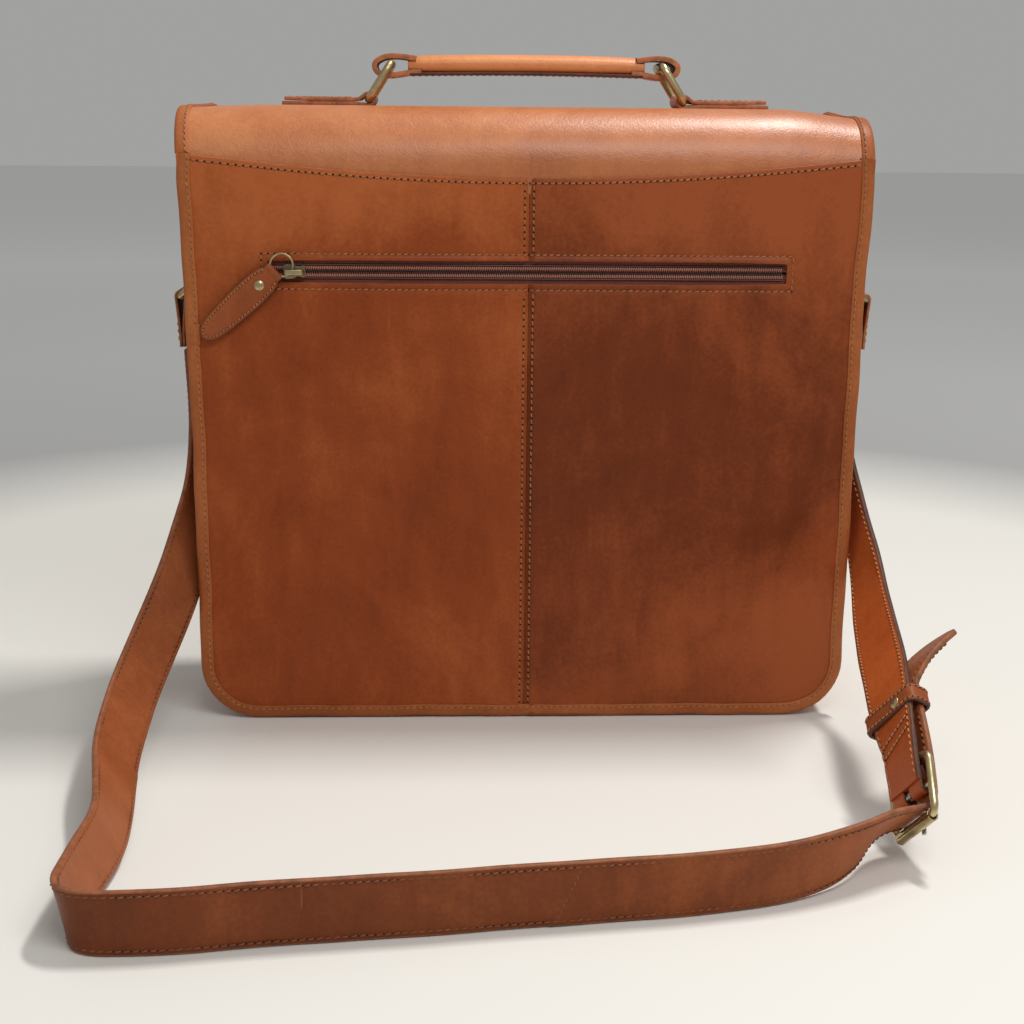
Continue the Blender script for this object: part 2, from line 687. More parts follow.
def back_normals(points):
    """Outward directions of the back panel at points on it."""
    x, z, step = points[:, 0], points[:, 2], 0.5
    slope_x = (back_relief(x + step, z) - back_relief(x - step, z)) / (2 * step)
    slope_z = (back_relief(x, z + step) - back_relief(x, z - step)) / (2 * step)
    return unit(np.stack([-slope_x, -np.ones_like(x), -slope_z], 1))


def back_half(side):
    """One sewn half of the back panel, with its turned seam edge and its half of the zip opening."""
    sign = -1 if side == "left" else 1
    corner = RIM - (CORNER - LIP)
    turn = np.linspace(0, math.pi / 2, 10)[1:]
    x = np.concatenate([[0.0, 0.5, 1.0, 1.6, 2.3, 3.0, 4.0, 5.2, 7.0], np.arange(10, 148, 4.0),
                        [148.5, 150.5, ZIP_HALF, 153, 154, 155, 156, 157.5, 160],
                        corner + (CORNER - LIP) * np.sin(turn)])
    x = np.unique(np.round(x, 4)) * sign
    zip_rows = np.array([252, 253.5, 255, 256.5, 258, 261, 263.5, 265, 266, 267, 268, 269, ZIP_Z - ZIP_OPEN,
                         ZIP_Z - 3, ZIP_Z + 3,
                         ZIP_Z + ZIP_OPEN, 285, 286, 287, 288, 289, 290.5, 293, 296, 297.5, 299, 300.5, 302])
    lower = np.linspace(0, 1, 56)[:-1]
    upper = np.linspace(0, 1, 11)[1:]
    low = rounded_bottom(x, RIM, LIP, CORNER - LIP)[:, None]
    high = back_edge(x)[:, None]
    z = np.concatenate([low + (zip_rows[0] - low) * lower, np.broadcast_to(zip_rows, (len(x), len(zip_rows))),
                        zip_rows[-1] + (high - zip_rows[-1]) * upper], axis=1)
    rise = z - ZIP_Z
    narrow = 0.24 * np.clip((np.abs(x[:, None]) - 92) / 60, 0, 1) ** 2 * bump_at(rise, 0, 10)
    points = back_point(np.broadcast_to(x[:, None], z.shape), ZIP_Z + rise * (1 - narrow))
    middle_x = (np.abs(x[:-1]) + np.abs(x[1:]))[:, None] / 2
    middle_z = (z[:-1, :-1] + z[:-1, 1:] + z[1:, :-1] + z[1:, 1:]) / 4
    keep = ~((middle_x < ZIP_HALF) & (np.abs(middle_z - ZIP_Z) < ZIP_OPEN))
    shape = Shape().sheet(points, LEATHER, keep, flip=sign < 0)
    made = make_piece(f"back_{side}_leather", shape,
                      [LEATHER_LEFT if side == "left" else LEATHER_RIGHT, EDGE_TAN],
                      round_by=0.5)
    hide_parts(f"back_panel_{side}")
    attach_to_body(made, "body")


def back_seams():
    """Stitch rows beside the centre seam, round the zip and along the top edge."""
    rows = Stitching()

    def run(x, z, **style):
        points = back_point(x, z)
        rows.row(points, back_normals(points.reshape(-1, 3)), **style)

    for x in (-SEAM_ROW, SEAM_ROW):
        for z0, z1 in ((10, ZIP_Z - ZIP_OPEN - 5), (ZIP_Z + ZIP_OPEN + 5, back_edge(x) - 3.5)):
            z = np.linspace(z0, z1, 60)
            run(np.full(60, float(x)), z)
    reach_x, reach_z = ZIP_HALF + ZIP_ROW, ZIP_OPEN + ZIP_ROW
    across = np.linspace(-reach_x, reach_x, 160)
    for sign in (-1, 1):
        run(across, np.full(160, ZIP_Z + sign * reach_z))
        upright = np.linspace(ZIP_Z - reach_z, ZIP_Z + reach_z, 8)
        run(np.full(8, sign * reach_x), upright)
    edge = np.linspace(-HALF + BAND + 1, HALF - BAND - 1, 160)
    run(edge, back_edge(edge) - 2.8)
    rows.piece("back_panel", "body")


# ---------------------------------------------------------------- edge bindings
def u_outline(half, bottom, radius, top, step=5.0, corner_steps=12):
    """A rounded outline from the upper left, round the bottom, to the upper right: x, z and inward x, z."""
    turn = np.linspace(0, math.pi / 2, corner_steps)
    down = np.linspace(top, bottom + radius, max(2, int((top - bottom - radius) / step)))[:-1]
    level = np.linspace(-half + radius, half - radius, int(2 * (half - radius) / step))[1:-1]
    left, right, low = -half + radius, half - radius, bottom + radius
    rows = [np.stack([np.full_like(down, -half), down, np.ones_like(down), np.zeros_like(down)], 1),
            np.stack([left - radius * np.cos(turn), low - radius * np.sin(turn), np.cos(turn), np.sin(turn)],
                     1),
            np.stack([level, np.full_like(level, bottom), np.zeros_like(level), np.ones_like(level)], 1),
            np.stack([right + radius * np.sin(turn), low - radius * np.cos(turn), -np.sin(turn),
                      np.cos(turn)], 1),
            np.stack([np.full_like(down, half), down[::-1], -np.ones_like(down), np.zeros_like(down)], 1)]
    return np.concatenate(rows)


def wavy(x):
    """Gentle unevenness of an edge, never below zero."""
    return 0.55 + 0.30 * np.sin(x / 16.0) + 0.20 * np.sin(x / 7.1 + 1.0)


def panel_binding(name, node_name, top, face, outward):
    """The strip folded over a panel's edge and the gusset's flange, with its stitches."""
    outline = u_outline(HALF, 0.0, CORNER, top)
    inward = np.stack([outline[:, 2], np.zeros(len(outline)), outline[:, 3]], 1)
    middle = face - outward * LEATHER
    centres = np.stack([outline[:, 0], np.full(len(outline), middle), outline[:, 1]], 1)
    centres += inward * (wavy(outline[:, 0] * 1.3 + outline[:, 1]) * 0.8)[:, None]
    up = np.broadcast_to([0.0, float(outward), 0.0], centres.shape)
    settled = np.clip((outline[:, 1] - top + 16) / 16, 0, 1)[:, None]
    centres += (inward * 1.1 - up * 0.8) * settled
    section = channel_section(BAND, 2 * LEATHER, LIP)
    shape = Shape().tube(rings_along(section, centres, inward, up))
    made = make_piece(f"{name}_leather", shape, [LEATHER_BINDING])
    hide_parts(node_name)
    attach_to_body(made, "body")
    rows = Stitching()
    rows.row(centres + inward * (BAND - 1.9) + up * (LEATHER + LIP), up)
    rows.piece(name, "body")


def binding_splice():
    """The overlapped end of the binding strip, low on the left side."""
    shape = Shape()
    z = np.linspace(246, 234, 5)
    centres = np.stack([np.full(5, -HALF), np.full(5, BACK_FACE + LEATHER), z], 1)
    section = channel_section(BAND - 0.2, 2 * LEATHER, LIP + 0.5)
    shape.tube(rings_along(section, centres, np.broadcast_to([1.0, 0, 0], (5, 3)),
                           np.broadcast_to([0, -1.0, 0], (5, 3))))
    made = make_piece("binding_splice", shape, [LEATHER_BINDING], round_by=0.2)
    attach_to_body(made, "body")


# ---------------------------------------------------------------- gusset, front panel and pocket
def side_sag(z, y, low, high):
    """How far the gusset's sides sink in between the panels."""
    across = np.sin(math.pi * (y - low) / (high - low))
    return (2.0 * across ** 2 * bump_at(z, 150, 75)
            + 0.5 * across * np.sin(z / 17 + y / 30) * bump_at(z, 160, 90))


def gusset(part):
    """One length of the strip between the two panels."""
    inset, low, high = 6.0, BACK_FACE + LEATHER + 0.3, FRONT_FACE - LEATHER - 0.3
    outline = u_outline(HALF - inset, inset, CORNER - inset, GUSSET_TOP, step=6.0)
    x, z = outline[:, 0], outline[:, 1]
    overlap = 3.0
    chosen = {"left": (z > GUSSET_SPLIT - overlap) & (x < 0), "right": (z > GUSSET_SPLIT - overlap) & (x > 0),
              "bottom": z < GUSSET_SPLIT + overlap}[part]
    outline = outline[chosen]
    y = np.linspace(low, high, 22)
    grid_y = np.broadcast_to(y, (len(outline), len(y)))
    sink = side_sag(outline[:, 1:2], grid_y, low, high) - (0.6 if part == "bottom" else 0.0)
    points = np.stack([outline[:, 0:1] + outline[:, 2:3] * sink, grid_y,
                       outline[:, 1:2] + outline[:, 3:4] * sink], -1)
    shape = Shape().sheet(points, LEATHER, flip=True)
    made = make_piece(f"gusset_{part}_leather", shape, [LEATHER_BINDING, EDGE_TAN],
                      round_by=0.4)
    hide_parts(f"gusset_{part}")
    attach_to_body(made, "body")


def gusset_seams():
    """Stitches over the two side seams and along the turned top edges."""
    rows = Stitching()
    low, high = BACK_FACE + LEATHER + 4, FRONT_FACE - LEATHER - 4
    y = np.linspace(low, high, 24)
    for sign in (-1, 1):
        for z in (GUSSET_SPLIT - 1.5, GUSSET_SPLIT + 1.0, GUSSET_TOP - 4):
            sink = side_sag(z, y, BACK_FACE + LEATHER, FRONT_FACE - LEATHER)
            x = sign * (HALF - 6.0 + 0.6 * (z < 100) - sink)
            points = np.stack([x, y, np.full_like(y, z)], 1)
            rows.row(points, np.broadcast_to([float(sign), 0, 0], points.shape))
    rows.piece("gusset", "body")


def crowned_panel(half, bottom, top, radius, face, crown, outward):
    """A rounded panel that swells a little towards its middle."""
    turn = np.sin(np.linspace(0, math.pi / 2, 9))
    side = np.concatenate([np.arange(0, half - radius, 6.0), half - radius + radius * turn])
    x = np.unique(np.round(np.concatenate([-side, side]), 4))
    rows = np.linspace(0, 1, 50)
    low = rounded_bottom(x, half, bottom, radius)[:, None]
    z = low + (top - low) * rows
    grid_x = np.broadcast_to(x[:, None], z.shape)
    u, v = np.abs(grid_x) / half, np.abs(2 * (z - bottom) / (top - bottom) - 1)
    swell = crown * (1 - u ** 4) * (1 - v ** 4) + 0.15 * np.sin(grid_x / 19 + z / 43) * (1 - u ** 6)
    return np.stack([grid_x, face + outward * swell, z], -1)


def front_panel():
    points = crowned_panel(RIM, LIP, FRONT_TOP, CORNER - LIP, FRONT_FACE, 0.4, 1)
    made = make_piece("front_panel_leather", Shape().sheet(points, LEATHER, flip=True),
                      [LEATHER_RIGHT, EDGE_TAN],
                      round_by=0.4)
    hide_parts("front_panel")
    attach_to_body(made, "body")


POCKET_LOW, POCKET_HIGH = span("front_pocket_panel")
POCKET_HALF = POCKET_HIGH[0]
POCKET_CORNER = 30.0


def front_pocket():
    """The patch pocket on the front: its face, its gusset and its stitches."""
    face = POCKET_HIGH[1]
    points = crowned_panel(POCKET_HALF, POCKET_LOW[2], POCKET_HIGH[2], POCKET_CORNER, face, 0.9, 1)
    made = make_piece("front_pocket_leather", Shape().sheet(points, LEATHER, flip=True),
                      [LEATHER_LEFT, EDGE_TAN],
                      round_by=0.5)
    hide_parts("front_pocket_panel")
    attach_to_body(made, "body")
    inset = 3.0
    outline = u_outline(POCKET_HALF - inset, POCKET_LOW[2] + inset, POCKET_CORNER - inset, POCKET_HIGH[2])
    y = np.linspace(FRONT_FACE + 0.6, face - LEATHER + 0.1, 9)
    sink = 1.6 * np.sin(np.linspace(0, math.pi, 9)) ** 2
    wall = np.stack([outline[:, 0:1] + outline[:, 2:3] * sink, np.broadcast_to(y, (len(outline), 9)),
                     outline[:, 1:2] + outline[:, 3:4] * sink], -1)
    side = make_piece("front_pocket_gusset_leather", Shape().sheet(wall, LEATHER, flip=True),
                      [LEATHER_BINDING, EDGE_TAN], round_by=0.4)
    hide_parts("front_pocket_gusset")
    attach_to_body(side, "body")
    rows = Stitching()
    inner = u_outline(POCKET_HALF, POCKET_LOW[2], POCKET_CORNER, POCKET_HIGH[2])
    edge = np.stack([inner[:, 0] + inner[:, 2] * 4, np.full(len(inner), face + 0.15),
                     inner[:, 1] + inner[:, 3] * 4], 1)
    rows.row(edge, np.broadcast_to([0, 1.0, 0], edge.shape))
    x = np.linspace(-POCKET_HALF + 5, POCKET_HALF - 5, 80)
    hem = np.stack([x, np.full(80, face + 0.2), np.full(80, POCKET_HIGH[2] - 5)], 1)
    rows.row(hem, np.broadcast_to([0, 1.0, 0], hem.shape))
    rows.piece("front_pocket", "body")


# ---------------------------------------------------------------- lining, board and divider
def rounded_ring(half_x, y0, y1, radius, steps=5):
    """A level rounded rectangle as points (x, y)."""
    loop = rounded_loop(half_x, (y1 - y0) / 2, radius, steps)
    return loop + [0, (y0 + y1) / 2]


def lining():
    """The cloth tub inside the main compartment, open at the top."""
    low, high = span("lining")
    y0, y1, bottom, top = low[1] + 0.6, high[1] - 0.4, low[2] + 0.4, high[2]
    half, corner = high[0] - 3.4, 26.0
    rings = []
    for share in (0.05, 0.35, 0.7, 0.95):
        ring = rounded_ring((half - corner) * share, y0 + (1 - share) * 30, y1 - (1 - share) * 30, 4.0)
        rings.append(np.column_stack([ring, np.full(len(ring), bottom)]))
    for z in np.concatenate([bottom + corner * (1 - np.cos(np.linspace(0.15, math.pi / 2, 7))),
                             np.linspace(bottom + corner + 12, top, 26)]):
        reach = half - corner + np.sqrt(max(0.0, corner ** 2 - max(0.0, bottom + corner - z) ** 2))
        ring = rounded_ring(reach, y0, y1, 5.0)
        fold = 0.7 * np.sin(ring[:, 0] / 11 + z / 29) * np.sin(math.pi * (z - bottom) / (top - bottom))
        centre = np.array([0, (y0 + y1) / 2])
        ring = ring - unit(ring - centre) * (0.7 + fold)[:, None]
        rings.append(np.column_stack([ring, np.full(len(ring), z)]))
    rings = np.array(rings)
    rings = np.concatenate([rings, rings[:, :1]], axis=1)
    made = make_piece("lining_cloth_bag", Shape().sheet(rings, 0.8, flip=True), [CLOTH, CLOTH])
    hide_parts("lining")
    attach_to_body(made, "body")


def soft_block(low, high, crown, corner):
    """A closed cushion-like slab in the XZ plane: rounded corners, swollen faces, thin rounded rim."""
    low, high = np.asarray(low, float), np.asarray(high, float)
    middle, half = (low + high) / 2, (high - low) / 2
    u = np.sin(np.linspace(-math.pi / 2, math.pi / 2, 40))
    v = np.sin(np.linspace(-math.pi / 2, math.pi / 2, 34))
    big_u, big_v = np.meshgrid(u, v, indexing="ij")
    pinch = corner * (big_u ** 4) * (big_v ** 4)
    x = middle[0] + big_u * (half[0] - pinch * 0.3)
    z = middle[2] + big_v * (half[2] - pinch * 0.3)
    rim = np.clip((1 - big_u ** 12) * (1 - big_v ** 12), 0, 1) ** 0.5
    thick = (half[1] + crown * (1 - big_u ** 2) * (1 - big_v ** 2)) * rim
    front = np.stack([x, middle[1] - thick, z], -1)
    rear = np.stack([x, middle[1] + thick, z], -1)
    shape = Shape()
    quads = grid_quads(*big_u.shape)
    count = front.size // 3
    index = np.arange(count).reshape(big_u.shape)
    border = np.concatenate([index[:, 0], index[-1, 1:], index[-2::-1, -1], index[0, -2:0:-1]])
    joined = np.arange(2 * count)
    joined[border + count] = border
    faces = np.concatenate([quads, joined[quads[:, ::-1] + count]])
    points = np.concatenate([front.reshape(-1, 3), rear.reshape(-1, 3)])
    used, renumbered = np.unique(faces, return_inverse=True)
    return shape.add(points[used], renumbered.reshape(faces.shape))


def board_and_divider():
    low, high = span("base_board")
    rows = np.linspace(low[0], high[0], 30)
    y = np.linspace(low[1], high[1], 14)
    grid_x, grid_y = np.meshgrid(rows, y, indexing="ij")
    board = np.stack([grid_x, grid_y, np.full_like(grid_x, high[2])], -1)
    made = make_piece("base_board_covered", Shape().sheet(board, high[2] - low[2]), [FELT, FELT],
                      round_by=0.6)
    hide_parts("base_board")
    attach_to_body(made, "body")
    low, high = span("laptop_divider")
    pad = make_piece("laptop_divider_pad", soft_block(low, high, 1.2, 30), [CLOTH])
    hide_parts("laptop_divider")
    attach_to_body(pad, "body")


# ---------------------------------------------------------------- flap
ROOT_Z = 322.0
BACK_FOLD = np.array([BACK_FACE + LEATHER + SHOULDER_BACK, FLAP_TOP - SHOULDER_BACK])
FRONT_FOLD = np.array([FLAP_FACE - SHOULDER_FRONT, FLAP_TOP - SHOULDER_FRONT])
SPLIT_Y = 5.0
RUNS = [BACK_FOLD[1] - ROOT_Z, SHOULDER_BACK * math.pi / 2, FRONT_FOLD[0] - BACK_FOLD[0],
        SHOULDER_FRONT * math.pi / 2, FRONT_FOLD[1] - FLAP_BOTTOM]
STARTS = np.concatenate([[0], np.cumsum(RUNS)])
SPLIT_S = STARTS[2] + SPLIT_Y - BACK_FOLD[0]
END_S = STARTS[-1]
REAR_BLEND = ("body", "flap_top", (0, -0.054, 0.358), (0, -0.018, 0.371))
FRONT_BLEND = ("flap_top", "flap_front", (0, 0.040, 0.371), (0, 0.0585, 0.345))


def flap_profile(s):
    """Point (y, z) and outward direction on the flap's outer face, s millimetres from its root."""
    s = np.asarray(s, float)
    y, z = np.empty_like(s), np.empty_like(s)
    ny, nz = np.empty_like(s), np.empty_like(s)
    k = np.clip(np.searchsorted(STARTS, s, side="right") - 1, 0, 4)
    d = s - STARTS[k]
    turn_back = np.clip(d / SHOULDER_BACK, 0, math.pi / 2)
    turn_front = np.clip(d / SHOULDER_FRONT, 0, math.pi / 2)
    cases = [(BACK_FACE + LEATHER + 0 * d, ROOT_Z + d, -1 + 0 * d, 0 * d),
             (BACK_FOLD[0] - SHOULDER_BACK * np.cos(turn_back),
              BACK_FOLD[1] + SHOULDER_BACK * np.sin(turn_back),
              -np.cos(turn_back), np.sin(turn_back)),
             (BACK_FOLD[0] + d, FLAP_TOP + 0 * d, 0 * d, 1 + 0 * d),
             (FRONT_FOLD[0] + SHOULDER_FRONT * np.sin(turn_front),
              FRONT_FOLD[1] + SHOULDER_FRONT * np.cos(turn_front), np.sin(turn_front), np.cos(turn_front)),
             (FLAP_FACE + 0 * d, FRONT_FOLD[1] - d, 1 + 0 * d, 0 * d)]
    for index, values in enumerate(cases):
        here = k == index
        for target, value in zip((y, z, ny, nz), values):
            target[here] = value[here]
    return y, z, ny, nz


def flap_relief(s, x):
    """How far the flap's leather stands out (or sinks in) from its plain profile."""
    top_part = bump_at(s, STARTS[2] + 12, 62)
    ends = np.clip((np.abs(x) - 150) / 50, 0, 1)
    ends = ends * ends * (3 - 2 * ends)
    droop = ends * np.where(x > 0, 5.5, 2.0) * top_part
    swell = 0.9 * bump_at(s, STARTS[1] + 14, 26) * (1 - (np.abs(x) / RIM) ** 6)
    hanging = np.clip((s - STARTS[4]) / 60, 0, 1) * np.clip((END_S - s) / 25, 0, 1)
    face = 0.25 * np.sin(x / 31 + s / 47) * hanging
    ripple = (0.45 * np.sin(x / 43 + 0.7) + 0.25 * np.sin(x / 19 + s / 25)) * bump_at(s, STARTS[1] + 16, 20)
    return swell + face + ripple * (1 - (np.abs(x) / RIM) ** 8) - droop


def flap_point(s, x, out=0.0):
    s, x = np.broadcast_arrays(np.asarray(s, float), np.asarray(x, float))
    y, z, ny, nz = flap_profile(s.ravel())
    rise = flap_relief(s.ravel(), x.ravel()) + out
    points = np.stack([x.ravel(), y + ny * rise, z + nz * rise], 1)
    return points.reshape(*s.shape, 3)


def flap_normals(s, x):
    s, x = np.broadcast_arrays(np.asarray(s, float), np.asarray(x, float))
    step = 0.6
    along_s = flap_point(s + step, x) - flap_point(s - step, x)
    along_x = flap_point(s, x + step) - flap_point(s, x - step)
    return unit(np.cross(along_x, along_s))


def flap_half_width(s, edge=HALF, radius=CORNER):
    """Half width of the flap, narrowing round its lower corners."""
    past = np.clip(s - (END_S - radius), 0, radius)
    return edge - radius + np.sqrt(np.maximum(radius ** 2 - past ** 2, 0))


def flap_rows(first, last):
    """Places along the profile, closer together in the folds and at the lower corners."""
    marks = np.unique(np.concatenate([STARTS[1:5], [first, last, END_S - CORNER]]))
    marks = marks[(marks >= first) & (marks <= last)]
    rows = [first]
    for a, b in zip(marks[:-1], marks[1:]):
        bend = any(abs(a - STARTS[k]) < 1e-6 for k in (1, 3))
        if abs(a - (END_S - CORNER)) < 1e-6:
            rows += list(a + (b - a) * np.sin(np.linspace(0, math.pi / 2, 10))[1:])
        else:
            rows += list(np.linspace(a, b, max(3, int((b - a) / (2.6 if bend else 5.0)) + 1))[1:])
    return np.array(rows)


def flap_leather(name, first, last, thickness, out, edge, materials, nodes, blend):
    """One layer of the flap between two places on its profile."""
    s = flap_rows(first, last)
    share = np.linspace(-1, 1, 81)
    half = flap_half_width(s, edge, CORNER - (HALF - edge))
    points = flap_point(s[:, None], half[:, None] * share[None, :], out)
    made = make_piece(name, Shape().sheet(points, thickness, flip=True), materials)
    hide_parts(*nodes)
    attach(made, blend)
    return made


def flap_edge_line(first, last):
    """Lines along the flap's edges, with their inward directions: two sides, or one round its lower part."""
    s = flap_rows(first, min(last, END_S - CORNER))
    lines = []
    if last < END_S:
        for sign in (-1, 1):
            lines.append((s, np.full(len(s), sign * HALF), np.zeros(len(s)),
                          np.full(len(s), -float(sign))))
        return lines
    turn = np.linspace(0, math.pi / 2, 12)[1:]
    low_s, low_x = END_S - CORNER, HALF - CORNER
    level = np.linspace(-low_x, low_x, 66)[1:-1]
    left_s = np.concatenate([s, low_s + CORNER * np.sin(turn)])
    left_x = np.concatenate([np.full(len(s), -HALF), -low_x - CORNER * np.cos(turn)])
    left_in_s = np.concatenate([np.zeros(len(s)), -np.sin(turn)])
    left_in_x = np.concatenate([np.ones(len(s)), np.cos(turn)])
    line_s = np.concatenate([left_s, np.full(len(level), END_S), left_s[::-1]])
    line_x = np.concatenate([left_x, level, -left_x[::-1]])
    in_s = np.concatenate([left_in_s, np.full(len(level), -1.0), left_in_s[::-1]])
    in_x = np.concatenate([left_in_x, np.zeros(len(level)), -left_in_x[::-1]])
    return [(line_s, line_x, in_s, in_x)]


def flap_binding(name, first, last, nodes, blend):
    """The strip folded over the flap's edge, and its stitches."""
    shape, rows = Shape(), Stitching()
    core = LEATHER
    for s, x, in_s, in_x in flap_edge_line(first, last):
        here = flap_point(s, x)
        inner = flap_point(s + in_s * 2.0, x + in_x * 2.0)
        inward = unit(inner - here)
        up = flap_normals(np.minimum(s, END_S - 1), np.clip(x, -HALF + 1, HALF - 1))
        up = unit(up - inward * np.sum(up * inward, axis=1, keepdims=True))
        centres = here - up * core / 2
        section = channel_section(BAND, core, LIP)
        shape.tube(rings_along(section, centres, inward, up))
        rows.row(centres + inward * (BAND - 1.9) + up * (core / 2 + LIP), up)
    made = make_piece(f"{name}_leather", shape, [LEATHER_BINDING])
    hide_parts(*nodes)
    attach(made, blend)
    rows.piece(name, blend)


def flap():
    """The flap's leather in two lengths that meet on its flat top, its linings and its bindings."""
    leathers = [LEATHER_FLAP, EDGE_TAN]
    flap_leather("flap_rear_leather", 0, SPLIT_S, LEATHER, 0, RIM, leathers,
                 ["flap_root", "flap_top_panel"], REAR_BLEND)
    flap_leather("flap_front_leather", SPLIT_S, END_S, LEATHER, 0, RIM, leathers,
                 ["flap_front_panel"], FRONT_BLEND)
    cloths = [CLOTH, CLOTH]
    inner = HALF - BAND - 0.5
    flap_leather("flap_rear_lining", 4, SPLIT_S, 0.8, -LEATHER - 0.02, inner, cloths,
                 ["flap_top_lining"], REAR_BLEND)
    flap_leather("flap_front_lining_cloth", SPLIT_S, END_S - BAND - 0.5, 0.8, -LEATHER - 0.02, inner, cloths,
                 ["flap_front_lining"], FRONT_BLEND)
    flap_binding("flap_rear_binding", BACK_TOP - ROOT_Z, SPLIT_S, ["flap_root_binding", "flap_top_binding"],
                 REAR_BLEND)
    flap_binding("flap_front_binding_strip", SPLIT_S, END_S, ["flap_front_binding"], FRONT_BLEND)


# ---------------------------------------------------------------- back zip
def zip_chain():
    """Tapes, two moulded coils with their sewn cords, and the pocket bag behind."""
    for name, sign in (("upper", 1), ("lower", -1)):
        low, high = span(f"zip_tape_{name}")
        x = np.linspace(low[0], high[0], 90)
        z = np.linspace(ZIP_Z + sign * 0.9, ZIP_Z + sign * (high[2] - low[2] + 2.9), 9)
        grid_x, grid_z = np.meshgrid(x, z, indexing="ij")
        ripple = 0.15 * np.sin(grid_x / 13) * np.abs(grid_z - ZIP_Z) / 10
        tape = np.stack([grid_x, BACK_FACE + LEATHER + 0.35 + ripple, grid_z], -1)
        made = make_piece(f"zip_tape_{name}_cloth", Shape().sheet(tape, 0.6, flip=sign < 0), [TAPE, TAPE])
        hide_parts(f"zip_tape_{name}")
        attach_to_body(made, "body")
        teeth = Shape()
        pitch = 1.3
        turn = circle(1.0, 6)
        low, high = span(f"zip_coil_{name}")
        front = low[1]
        for x in np.arange(low[0] + 1, high[0] - 1, pitch):
            shift = 0 if sign > 0 else pitch / 2
            for z0, z1, lean, size, tone in ((0.1, 1.2, 0.10, 0.44, 1), (1.3, 3.1, 0.45, 0.52, 0)):
                rings = []
                for share in (0.0, 0.3, 0.7, 1.0):
                    spot = np.array([x + shift + lean * share, front + 0.45 + 0.25 * abs(share - 0.5),
                                     ZIP_Z + sign * (z0 + (z1 - z0) * share)])
                    reach = size * (0.55 if share in (0.0, 1.0) else 1.0)
                    rings.append(spot + turn[:, :1] * [reach, 0, 0] + turn[:, 1:] * [0, reach, 0])
                teeth.tube(rings, False, tone)
        cord = np.stack([np.linspace(low[0], high[0], 4), np.full(4, front + 1.0),
                         np.full(4, ZIP_Z + sign * 3.9)], 1)
        teeth.tube(rings_along(circle(0.45, 8), cord, np.broadcast_to([0, 1.0, 0], cord.shape),
                               np.broadcast_to([0, 0, 1.0], cord.shape)), False, 1)
        coil = make_piece(f"zip_coil_{name}_teeth", teeth, [COIL, COIL_DARK])
        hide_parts(f"zip_coil_{name}")
        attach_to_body(coil, "body")
    low, high = span("zip_pocket_bag")
    grid_x, grid_z = np.meshgrid(np.linspace(low[0], high[0], 50), np.linspace(low[2], high[2], 32),
                                 indexing="ij")
    wrinkle = 0.3 * np.sin(grid_x / 17 + grid_z / 23) + 0.2 * np.sin(grid_z / 9)
    bag = np.stack([grid_x, (low[1] + high[1]) / 2 - 0.3 + wrinkle, grid_z], -1)
    made = make_piece("zip_pocket_cloth", Shape().sheet(bag, 0.6), [CLOTH, CLOTH])
    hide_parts("zip_pocket_bag")
    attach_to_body(made, "body")


def extruded(outline, y0, y1):
    """A plate: its outline (x, z) drawn out from y0 to y1."""
    outline = np.asarray(outline, float)
    return [in_xz(outline, y0), in_xz(outline, y1)]


def zip_slider():
    """The slider's two waisted plates, its post and its bridge."""
    low, high = span("zip_slider")
    mid = (low[0] + high[0]) / 2
    half, tall = (high[0] - low[0]) / 2, (high[2] - low[2]) / 2
    upper = [(-half, tall * 0.78), (-half * 0.7, tall), (-half * 0.1, tall * 0.92),
             (half * 0.35, tall * 0.62),
             (half * 0.8, tall * 0.80), (half, tall * 0.70)]
    outline = upper + [(a, -b) for a, b in reversed(upper)]
    outline = [(mid + a, ZIP_Z + b) for a, b in outline]
    shape = Shape()
    shape.tube(extruded(outline, BACK_FACE - 1.2, BACK_FACE - 0.1))
    shape.tube(extruded(outline, BACK_FACE + 3.0, BACK_FACE + 4.0))
    post = [(mid + a, ZIP_Z + b) for a, b in ((-5, -0.4), (1, -0.4), (1, 0.4), (-5, 0.4))]
    shape.tube(extruded(post, BACK_FACE - 0.4, BACK_FACE + 3.4))
    for sign in (-1, 1):
        rail = [(mid + a, ZIP_Z + sign * b) for a,
                b in ((-half, tall * 0.78), (-half * 0.7, tall), (0, tall * 0.9),
                                                        (0, tall * 0.72), (-half * 0.7, tall * 0.8),
                                                        (-half, tall * 0.6))]
        shape.tube(extruded(rail, BACK_FACE - 0.6, BACK_FACE + 0.6))
    made = make_piece("zip_slider_body", shape, [BRASS_DARK], round_by=0.25)
    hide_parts("zip_slider")
    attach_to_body(made, "zip_slider")
    bridge = Shape()
    arch = [(-5.6, -1.0), (-5.4, -4.6), (-4.4, -5.9), (0, -6.2), (4.0, -5.9), (5.2, -4.6), (5.5, -1.0)]
    path = smooth_line([(mid + a, BACK_FACE + b, ZIP_Z) for a, b in arch], 4)
    along = tangents(path)
    wide = np.broadcast_to([0, 0, 1.0], path.shape)
    section, _ = strip_section(3.0, 1.0, 0.4)
    bridge.tube(rings_along(section, path, wide, np.cross(along, wide)))
    top = make_piece("zip_slider_bridge", bridge, [BRASS_PALE])
    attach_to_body(top, "zip_slider")


RING_CENTRE = np.array([-143.5, -61.8, 281.0])
PULL_TURN = math.radians(222.0)
PULL_AHEAD = np.array([math.cos(PULL_TURN), 0, math.sin(PULL_TURN)])
PULL_SIDE = np.array([-math.sin(PULL_TURN), 0, math.cos(PULL_TURN)])
PULL_OUT = np.array([0, -1.0, 0])
PULL_LIFT = 1.0


